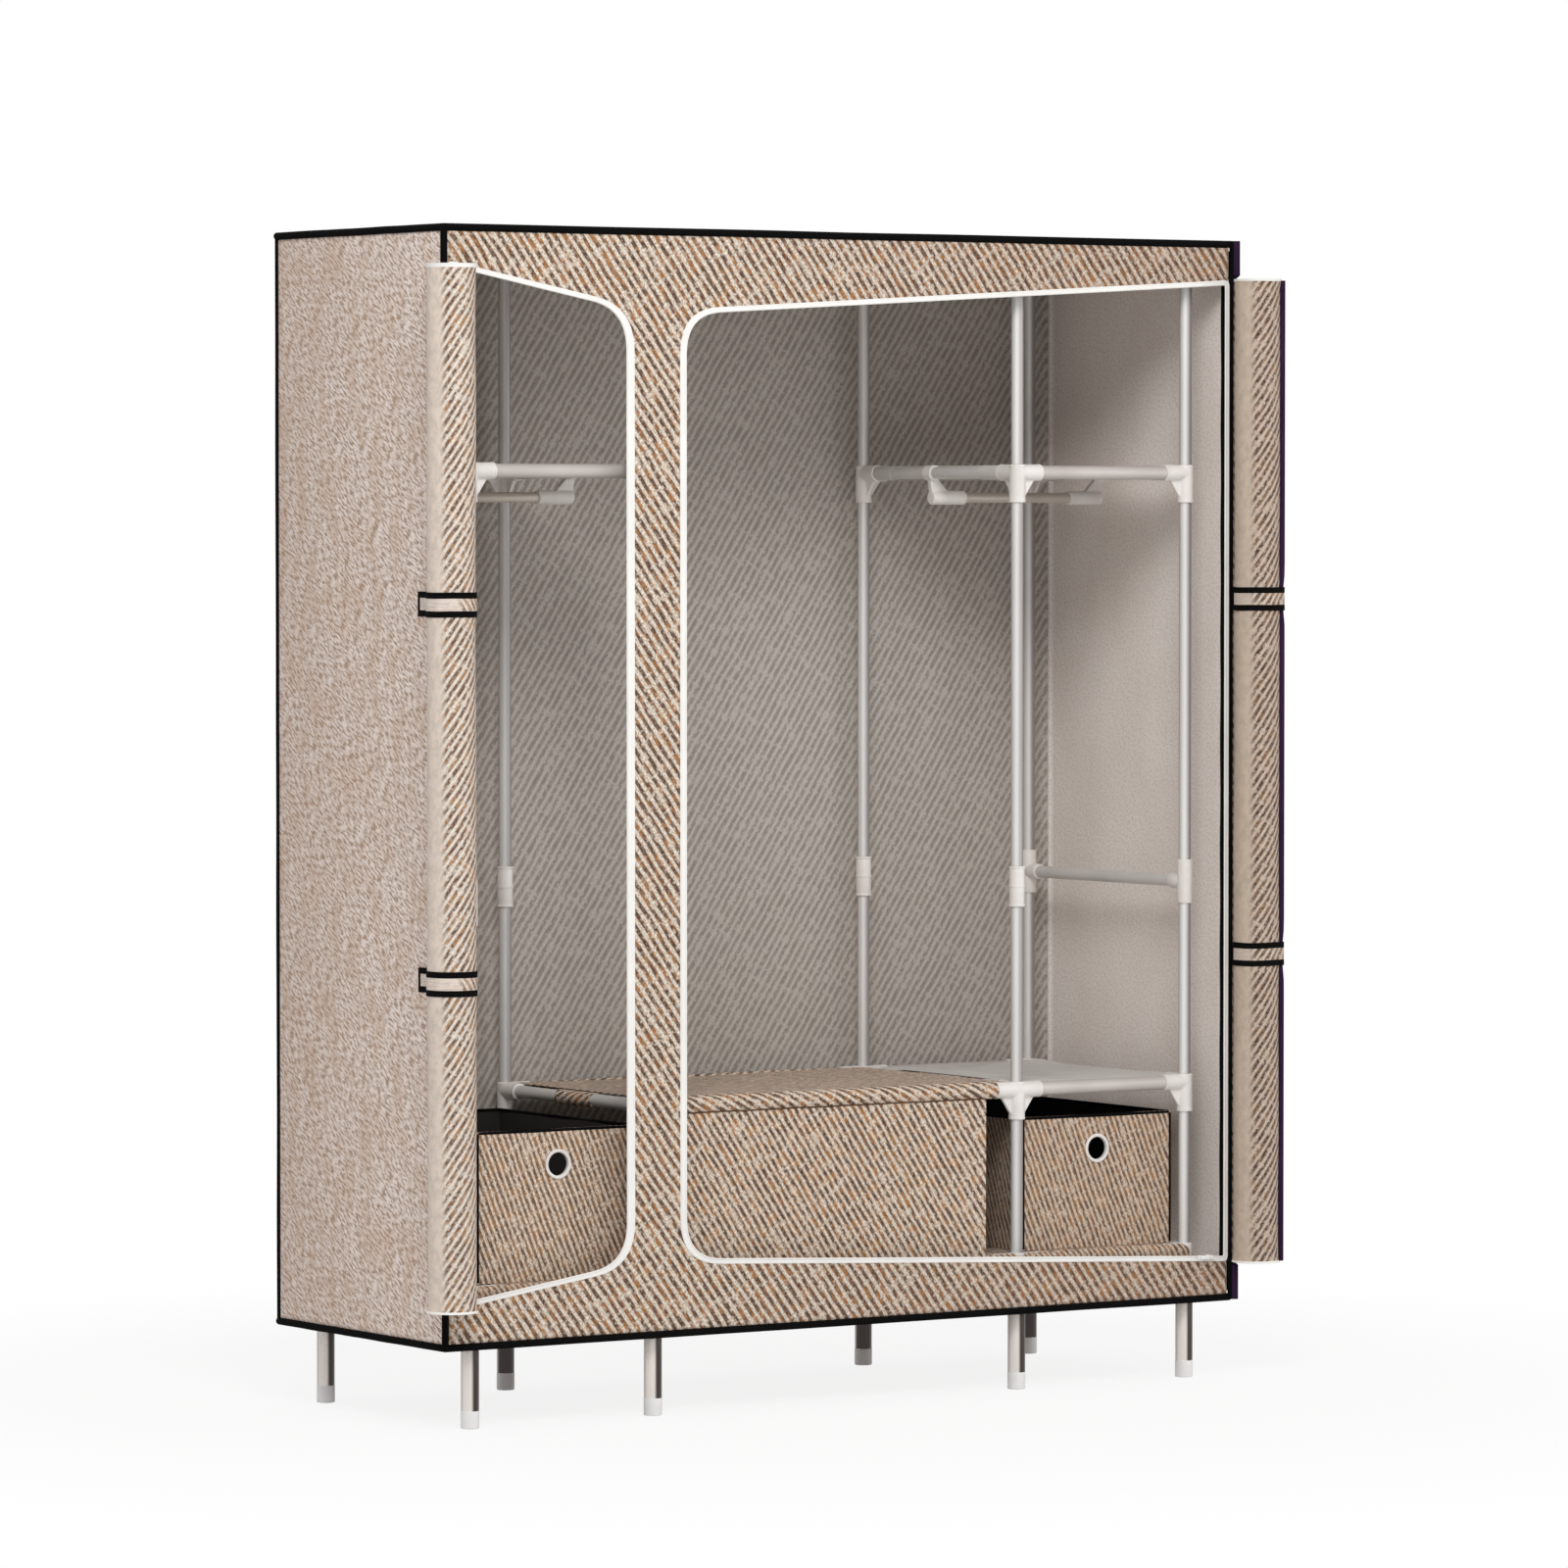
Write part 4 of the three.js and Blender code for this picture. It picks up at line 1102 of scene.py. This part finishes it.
def zip_slider(name, node_name, body, door):
    """The slider's body, its bridge and its pull, lying on the bottom stretch of the zip."""
    base = tapered(SLIDER_BASE, (0, -0.0017, 0), 0, 0.62)
    bevel(base, 0.0011, 3)
    bridge = torus(0.0022, 0.0006, (0, -0.0030, 0), (0, math.pi / 2, 0), (24, 8))
    pull = tapered(SLIDER_PULL, (-0.0125, -0.0047, 0), -0.01, 0.66)
    bevel(pull, 0.0006)
    subtract(pull, cylinder("y", -0.010, 0.002, PULL_HOLE, (-0.0195, 0), 20))
    piece = joined([bridge, pull, base], name)
    side = door["side"]
    parked = side * SLIDER_PARK
    ahead = parked - side * 0.001
    height = edge_height(door, "bottom", parked)
    slope = math.atan2(edge_height(door, "bottom", ahead) - height, ahead - parked)
    piece.rotation_euler = (0, -slope + (math.pi if side > 0 else 0), 0)
    piece.location = (parked, FRONT - 0.0018, height)
    settle(give(piece, SLIDER))
    finish_piece(piece, node_name, body)


zip_tape("left_zip_tape", "zip_tape_left", LEFT_DOOR)
zip_tape("right_zip_tape", "zip_tape_right", RIGHT_DOOR)
zip_slider("left_zip_pull", "zip_slider_left", "left_slider", LEFT_DOOR)
zip_slider("right_zip_pull", "zip_slider_right", "right_slider", RIGHT_DOOR)


# Rolled doors


def wound_radius(turned, turns):
    """The roll keeps its full radius through its outer turn, dips under its start and tightens."""
    radii = (ROLL_RADIUS, ROLL_RADIUS, ROLL_RADIUS - 0.003, ROLL_CORE)
    return float(np.interp(turned, (0, 0.75, 1, turns), radii))


def strap_pull(z, power):
    """How much the straps draw a roll in at a height: 1 at a strap, 0 well away from both."""
    return sum(math.exp(-(((z - height) / STRAP_PULL) ** power)) for _, height in STRAP_HEIGHTS)


def mirror_print(cloth):
    change_uv(cloth, lambda uv: uv * (-1, 1))


def door_roll(name, node_name, side, turns, seed):
    """A door wound up from its seam at the corner, with a white lip at each end."""
    centre = (side * ROLL_X[side], ROLL_Y)
    line = [(side * SEAM_X, ROLL_Y + ROLL_RADIUS)]
    for i in range(turns * 48 + 1):
        angle = math.pi / 2 - side * (i / 48) * 2 * math.pi
        line.append(round_point(centre, wound_radius(i / 48, turns), angle))
    along, length = along_line(line)
    rows, height = 130, ROLL_TOP - ROLL_BOTTOM
    row = height / rows
    # The outer rows lie at the borders of the white lips.
    lips = ((0, row, height - row, height), (0, ROLL_FOOT, height - ROLL_LIP[side], height))

    def place(s, z, _):
        z = np.interp(z, *lips)
        x, y, nx, ny = along(s)
        calm = min(1, s / 0.06)
        slack = calm * 0.0010 * (ripple(s, z * 0.25, 0.035, seed) - 0.5)
        slack -= calm * 0.0006 * strap_pull(z + ROLL_BOTTOM, 2)
        # The hemmed ends draw in a little.
        slack -= 0.0022 * max(0, 1 - min(z, height - z) / 0.009) ** 2
        return x - side * nx * slack, y - side * ny * slack, z + ROLL_BOTTOM

    piece = settle(reshape(cloth_grid(length, height, int(length / 0.0045), rows), place), name)
    give(piece, LINEN_ROLL[side], TAPE)
    foot, lip = ROLL_BOTTOM + ROLL_FOOT, ROLL_TOP - ROLL_LIP[side]
    give_where(piece, 1, lambda face: not foot <= face.center.z <= lip)
    if side > 0:
        mirror_print(piece)
    thicken(piece, CLOTH)
    map_turned(piece, *centre)
    finish_piece(piece, node_name)


def shade_cord_on_roll(name, side):
    """A dark purple cord along the outside of a roll: painted shade along the roll's right edge."""
    angle = math.radians(CORD_ANGLE)
    points = []
    for i in range(81):
        z = ROLL_BOTTOM + 0.002 + (ROLL_TOP - ROLL_BOTTOM - 0.004) * i / 80
        radius = ROLL_RADIUS + 0.0030 - 0.0022 * min(1, strap_pull(z, 4))
        points.append((*round_point((side * ROLL_X[side], ROLL_Y), radius, angle), z))
    piece = give(joined([cord_along(points, SHADE_CORD_RADIUS)], name), EDGE_SHADE_CLOTH)
    finish_piece(piece, degrees=60)


door_roll("left_door_roll", "door_roll_left", -1, 3, 41)
door_roll("right_door_roll", "door_roll_right", 1, 5, 47)
shade_cord_on_roll("right_door_binding", 1)


def strap(name, node_name, side, height, seed):
    """A strap that is sewn to the cover's side and goes round the roll, with a black binding."""
    centre, radius = ROLL_X[side], STRAP_RADIUS
    panel_x = HALF_WIDTH + 0.0010
    leave = Vector((panel_x - centre, STRAP_SEWN - ROLL_Y))
    start = math.atan2(leave.y, leave.x) % (2 * math.pi) - math.acos(radius / leave.length)
    sweep = start + 2 * math.pi - math.radians(155)
    line = [(side * panel_x, FRONT + 0.068), (side * panel_x, STRAP_SEWN)]
    for i in range(97):
        angle = start - sweep * i / 96
        # The right straps pass over the cord of painted shade on the roll.
        away = (math.degrees(angle) - CORD_ANGLE + 180) % 360 - 180
        reach = radius + (0.0062 * math.exp(-((away / 16) ** 2)) if side > 0 else 0)
        x, y = round_point((centre, ROLL_Y), reach, angle)
        line.append((side * x, y))
    along, length = along_line(line)
    edge, end = STRAP_BINDING, STRAP_BINDING * 0.85

    def in_binding(s, v):
        return not (edge <= v <= STRAP_WIDTH - edge and end <= s <= length - end)

    def place(s, v, _):
        x, y, nx, ny = along(s)
        lift = 0.0003 * in_binding(s, v) + 0.0003 * ripple(s, v, 0.02, seed)
        z = height - STRAP_WIDTH / 2 + v + 0.0008 * ripple(s, 0, 0.05, seed)
        return x + side * nx * lift, y + side * ny * lift, z

    piece = settle(reshape(cloth_grid(length, STRAP_WIDTH, int(length / 0.0032), 20), place), name)
    give(piece, STRAP_LINEN[side], BLACK)
    uv = piece.data.uv_layers[0].data

    def bound(face):
        corners = face.loop_indices
        return in_binding(*(sum(uv[i].uv[axis] for i in corners) / len(corners) for axis in (0, 1)))

    give_where(piece, 1, bound)
    if side > 0:
        mirror_print(piece)
    thicken(piece, STRAP_CLOTH)
    map_turned(piece, side * centre, ROLL_Y, FRONT)
    finish_piece(piece, node_name)


for i, (level, height) in enumerate(STRAP_HEIGHTS):
    strap(f"left_strap_{level}", f"strap_left_{level}", -1, height, 60 + i)
    strap(f"right_strap_{level}", f"strap_right_{level}", 1, height, 70 + i)


# Cloth shelves


def cloth_sleeve(axis, start, end, radius, centre):
    """A short sewn sleeve round a rail."""
    tube = opened(cylinder(axis, start, end, radius, centre), lambda face: len(face.verts) > 4, 5)
    change_uv(tube, lambda uv: uv * (2 * math.pi * radius, abs(end - start) * 2))
    return tube


def sewn(parts, name, look, thickness):
    """Joins the parts of a shelf to its first part, in one cloth."""
    piece = give(joined(parts[::-1], name), look)
    thicken(piece, thickness)
    return piece


def flat_sheet(x1, x2, y1, y2, z, sag, seed, columns=60, rows=70):
    """A level sheet that sags in the middle of its width."""
    width = x2 - x1

    def place(u, v, _):
        across = 4 * (u / width) * (1 - u / width)
        calm = min(1, min(u, width - u) / 0.05)
        dip = sag * across + 0.0012 * calm * ripple(u * 0.5, v, 0.06, seed)
        return x1 + u, y1 + v, z - dip

    return reshape(cloth_grid(width, y2 - y1, columns, rows), place)


def hem_cloth(left, right, line, level, seed):
    """Cloth that follows a line of YZ points round a rail, wavy by a little."""
    along, length = along_line(line)

    def place(u, v, _):
        y, z, ny, nz = along(v)
        wave = 0.0005 * ripple(u, v, 0.03, seed)
        return u + left, y + ny * wave, level + z + nz * wave

    return reshape(cloth_grid(right - left, length, 110, 26), place)


def side_shelf(name, node_name, x1, x2, level, rails, seed):
    """A sheet between the rails, whose edges go round the depth rails at two places each."""
    z = level + TUBE + ON_TUBE
    parts = [flat_sheet(x1 + SIDE_INSET, x2 - SIDE_INSET,
                        FRONT_POSTS + SHELF_INSET, BACK_POSTS - SHELF_INSET, z, 0.004, seed)]
    for low, high in SIDE_SLEEVES:
        y1, y2 = POST_CENTRE + low, POST_CENTRE + high
        parts.append(flat_sheet(x1, x2, y1, y2, z, 0.0042, seed + 1, 60, 8))
        for x in (x1, x2):
            parts.append(cloth_sleeve("y", y1, y2, ROUND_TUBE, (x, level)))
    piece = sewn(parts, name, GREY, SIDE_CLOTH)
    finish_piece(piece, node_name)


side_shelf("upper_left_shelf", "shelf_upper_left", *LEFT_COLUMN, UPPER_LEVEL,
           ("upper_depth_1", "upper_depth_2"), 80)
side_shelf("upper_right_shelf", "shelf_upper_right", *RIGHT_COLUMN, UPPER_LEVEL,
           ("upper_depth_3", "upper_depth_4"), 84)
side_shelf("lower_right_shelf", "shelf_lower_right", *RIGHT_COLUMN, LOWER_LEVEL,
           ("lower_depth_3", "lower_depth_4"), 88)


def middle_shelf(name, node_name):
    """The sheet, the thick hem round the front rail, the apron, and the crease between them, with a
    dark cord of painted shade in the crease.
    """
    left, right = APRON
    top = LOWER_LEVEL + TUBE + ON_TUBE
    drop = LOWER_LEVEL - APRON_LOW
    front = FRONT_POSTS - APRON_HEM + 0.004

    def hanging(u, v, _):
        wave = 0.0022 * (1 - v / drop) * math.sin(u * 21 + 0.8)
        wave += 0.0012 * ripple(u, v * 0.5, 0.05, 91)
        return u + left, front - 0.4 * wave, APRON_LOW + v

    apron = reshape(cloth_grid(right - left, drop - 0.0096, 110, 80), hanging)
    round_rail = arc((FRONT_POSTS, 0), APRON_HEM, 232, -200, 36)
    hem = hem_cloth(left, INNER_POST - ARM - 0.0014, round_rail, LOWER_LEVEL, 92)
    c, s = math.cos(math.radians(26)), math.sin(math.radians(26))
    change_uv(hem, lambda uv: uv @ np.array(((c, -s), (s, c))))
    parts = [apron, hem, flat_sheet(left, right, FRONT_POSTS, BACK_POSTS, top, 0.003, 93)]
    x, y = INNER_POST - SHELF_INSET, 0.0125
    parts.append(flat_sheet(-x, x, FRONT_POSTS + y, BACK_POSTS - y, top + 0.0004, 0.003, 94))
    y1, y2 = POST_CENTRE - MIDDLE_SLEEVE, POST_CENTRE + MIDDLE_SLEEVE
    for x in (-INNER_POST, INNER_POST):
        parts.append(cloth_sleeve("y", y1, y2, ROUND_TUBE, (x, LOWER_LEVEL)))
    parts.append(cloth_sleeve("x", left, right, TUBE + ON_TUBE, (BACK_POSTS, LOWER_LEVEL)))
    piece = sewn(parts, name, LINEN_APRON, APRON_CLOTH)
    # A dark cord in the crease under the hem: painted shade.
    crease = [(left + (right - left) * i / 60,
               FRONT_POSTS - APRON_HEM + 0.0031 + 0.0004 * ripple(i, 0, 4, 97),
               LOWER_LEVEL - CREASE_DROP + 0.0007 * ripple(i, 0, 5, 98)) for i in range(61)]
    piece = joined([give(cord_along(crease, 0.0010), CREASE_SHADE), piece], name)
    finish_piece(piece, node_name)


middle_shelf("middle_shelf_cloth", "shelf_lower_middle")


def bottom_shelf(name, node_name):
    """The sheet under the boxes, its sleeves round the long rails and its hem on the front one."""
    top = BOTTOM_LEVEL + CONNECTOR - 0.0006
    x, y1, y2 = OUTER_POST - BOTTOM_INSET, FRONT_POSTS + BOTTOM_INSET, BACK_POSTS - BOTTOM_INSET
    parts = [flat_sheet(-x, x, y1, y2, top - 0.0002, 0.0, 101, 100, 50)]
    for left, right in zip(POSTS, POSTS[1:]):
        low, high = left + 0.041, right - 0.041
        parts.append(flat_sheet(low, high, FRONT_POSTS, BACK_POSTS, top, 0.0, 102))
        for y in (FRONT_POSTS, BACK_POSTS):
            parts.append(cloth_sleeve("x", low, high, CONNECTOR - 0.0008, (y, BOTTOM_LEVEL)))
    edge = FRONT_POSTS - BOTTOM_HEM
    folded = [(edge, -0.022), (edge, 0), *arc((FRONT_POSTS, 0), BOTTOM_HEM, 180, -58, 8)[1:]]
    parts.append(hem_cloth(-OUTER_POST, OUTER_POST, folded, BOTTOM_LEVEL, 104))
    piece = sewn(parts, name, LINEN_BOX[1], BOTTOM_CLOTH)
    finish_piece(piece, node_name)


bottom_shelf("bottom_shelf_cloth", "shelf_bottom")


# Storage boxes


def rounded_rectangle(x, y, z, reach):
    points = []
    for cx, cy, first in ((x, y, 0), (-x, y, 90), (-x, -y, 180), (x, -y, 270)):
        corner = (cx - math.copysign(reach, cx), cy - math.copysign(reach, cy))
        points += [(*point, z) for point in arc(corner, reach, first, 90, 5)]
    return points


def map_walls(mesh):
    """Lays a box's print on it in metres, wall by wall."""
    layer = mesh.uv_layers[0].data
    for face in mesh.polygons:
        normal = face.normal
        for i in face.loop_indices:
            x, y, z = mesh.vertices[mesh.loops[i].vertex_index].co
            if abs(normal.y) > 0.7:
                layer[i].uv = (x * math.copysign(1, -normal.y) + 0.4, z)
            elif abs(normal.x) > 0.7:
                layer[i].uv = (y * math.copysign(1, normal.x) + 0.9, z)
            else:
                layer[i].uv = (x, y + 1.5)


def faces_inside(face):
    """Tells the faces inside a box, and the top of its walls."""
    x, y, _ = face.center
    faces_x = abs(face.normal.x) > 0.7 and face.normal.x * x < 0
    faces_y = abs(face.normal.y) > 0.7 and face.normal.y * y < 0
    return faces_x or faces_y or face.normal.z > 0.5


def storage_box(name, node_name, body, side, seed):
    """A cloth box with bowed walls, bound edges, and a grommet as its finger hole."""
    middle, hole = side * BOX_X, GROMMET_Z[side]
    depth, centre = (BOX_BACK - BOX_FRONT) / 2, (BOX_FRONT + BOX_BACK) / 2
    height = BOX_TOP[side] - BOX_LOW
    shell = block((2 * BOX_HALF, 2 * depth, height), (0, 0, height / 2))
    opened(shell, lambda face: face.normal.z > 0.9, 30)
    map_walls(shell.data)

    def bowed(x, y, z):
        along_x, along_y, rise = x / BOX_HALF, y / depth, z / height
        bow = 0.0022 * math.sin(math.pi * min(rise, 1)) + 0.0010 * rise
        nx, ny = x, y
        if abs(along_y) > 0.999:
            uneven = 0.6 + ripple(x, z, 0.08, seed)
            ny = y - math.copysign(1, y) * bow * (1 - along_x**2) * uneven
        if abs(along_x) > 0.999:
            uneven = 0.6 + ripple(y, z, 0.08, seed + 2)
            nx = x - math.copysign(1, x) * bow * (1 - along_y**2) * uneven
        return nx, ny, z

    reshape(shell, bowed)
    thicken(shell, BOX_WALL, -1)
    in_front = (0, hole - BOX_LOW)
    subtract(shell, cylinder("y", -depth - 0.02, -depth + 0.02, FINGER_HOLE, in_front, 40))
    # The inside faces and the tops of the walls are near black: painted shade.
    give(shell, LINEN_BOX[side], BOX_INSIDE_SHADE)
    give_where(shell, 1, faces_inside)
    rim = rounded_rectangle(BOX_HALF - 0.0016, depth - 0.0016, height - 0.0022, 0.004)
    cords = [cord_along(rim, RIM_CORD, True)]
    for x, y in ((-1, -1), (1, -1), (1, 1), (-1, 1)):
        a, b = x * (BOX_HALF - 0.0010), y * (depth - 0.0010)
        corner = [(a, b, z) for z in (0.002, height / 2, height - 0.003)]
        cords.append(cord_along(corner, CORNER_CORD))
    binding = give(joined(cords, "binding"), BLACK)
    piece = joined([binding, shell], name)
    piece.location = (middle, centre, BOX_LOW)
    settle(piece)
    at, straight = (middle, hole), (math.pi / 2, 0, 0)
    ring = torus(GROMMET, GROMMET_RIM, (middle, BOX_FRONT - 0.0001, hole), straight, (56, 16))
    ring.scale = (1, 1, 0.62)
    settle(ring)
    barrel = cylinder("y", BOX_FRONT - 0.0006, BOX_FRONT + 0.0046, GROMMET_BARREL, at, 56)
    subtract(barrel, cylinder("y", BOX_FRONT - 0.01, BOX_FRONT + 0.01, GROMMET_HOLE, at, 56))
    grommet = give(joined([barrel, ring], name.replace("box", "box_grommet")), PLASTIC)
    finish_piece(piece, node_name, body)
    finish_piece(grommet, None, body, 50)


storage_box("left_box", "storage_box_left", "left_box", -1, 110)
storage_box("right_box", "storage_box_right", "right_box", 1, 120)


# Floor, light and camera

# The camera stands where a fit to the photo puts it; its tilt and turn are in degrees
CAMERA_PLACE = Vector((-6.5496 + SHIFT, -9.9653, 1.2995))
CAMERA_TILT = -1.9319
CAMERA_TURN = -33.3875
LENS = 185.957
LIT_PLACE = Vector((0, 0, 0.9))


def seen_ray(tree):
    """1 for rays that the camera sees, straight, in a gloss or through a pane, and else 0."""
    rays = node(tree, "ShaderNodeLightPath").outputs
    seen = maths("MAXIMUM", rays["Is Camera Ray"], rays["Is Glossy Ray"])
    return maths("MAXIMUM", seen, rays["Is Transmission Ray"])


def cleared(owner):
    """The emptied node tree of a material or a world."""
    owner.use_nodes = True
    owner.node_tree.nodes.clear()
    return owner.node_tree


def white_floor():
    """Matt where light falls on it, and to the camera whiter the further it is from the object."""
    bpy.ops.mesh.primitive_plane_add(size=16, location=(0, 0, -0.0005))
    floor = bpy.context.object
    floor.name = "floor"
    material = bpy.data.materials.new("white_floor")
    tree = cleared(material)
    matt = node(tree, "ShaderNodeBsdfDiffuse", {"Color": (0.86, 0.86, 0.86, 1)})
    glow = node(tree, "ShaderNodeEmission", {"Color": (1, 1, 1, 1)})
    place = node(tree, "ShaderNodeTexCoord").outputs["Object"]
    far = node(tree, "ShaderNodeVectorMath", {0: place}, operation="LENGTH").outputs["Value"]
    share = maths("MULTIPLY", seen_ray(tree), levels(far, 0.9, 2.0, 0.86, 1.0))
    join = node(tree, "ShaderNodeMixShader", {0: share, 1: matt, 2: glow})
    node(tree, "ShaderNodeOutputMaterial", {0: join})
    give(floor, material)


def white_room():
    """A soft light from all round, in front of a background that is white to the camera."""
    world = bpy.data.worlds.new("studio")
    bpy.context.scene.world = world
    tree = cleared(world)
    soft, white = (node(tree, "ShaderNodeBackground", {"Color": (1, 1, 1, 1), "Strength": strength})
                   for strength in (0.55, 1.0))
    join = node(tree, "ShaderNodeMixShader", {0: seen_ray(tree), 1: soft, 2: white})
    node(tree, "ShaderNodeOutputWorld", {0: join})


def lamp(name, place, size, power):
    """A rectangular lamp that looks at the middle of the wardrobe."""
    bpy.ops.object.light_add(type="AREA", location=place)
    light = bpy.context.object
    light.name = name
    light.data.shape = "RECTANGLE"
    light.data.size, light.data.size_y = size
    light.data.energy = power
    direction = LIT_PLACE - Vector(place)
    light.rotation_euler = direction.to_track_quat("-Z", "Y").to_euler()


white_floor()
white_room()
lamp("key", (-2.6, -4.2, 4.6), (2.6, 2.2), 190)
lamp("fill", (3.6, -3.4, 1.6), (2.4, 2.4), 40)

bpy.ops.object.camera_add(
    location=CAMERA_PLACE,
    rotation=(math.radians(90 + CAMERA_TILT), 0, math.radians(CAMERA_TURN)),
)
camera = bpy.context.object
camera.name = "photo_view"
camera.data.lens = LENS
camera.data.sensor_width = 36
camera.data.clip_end = 60
bpy.context.scene.camera = camera
bpy.context.scene.view_settings.view_transform = "Standard"
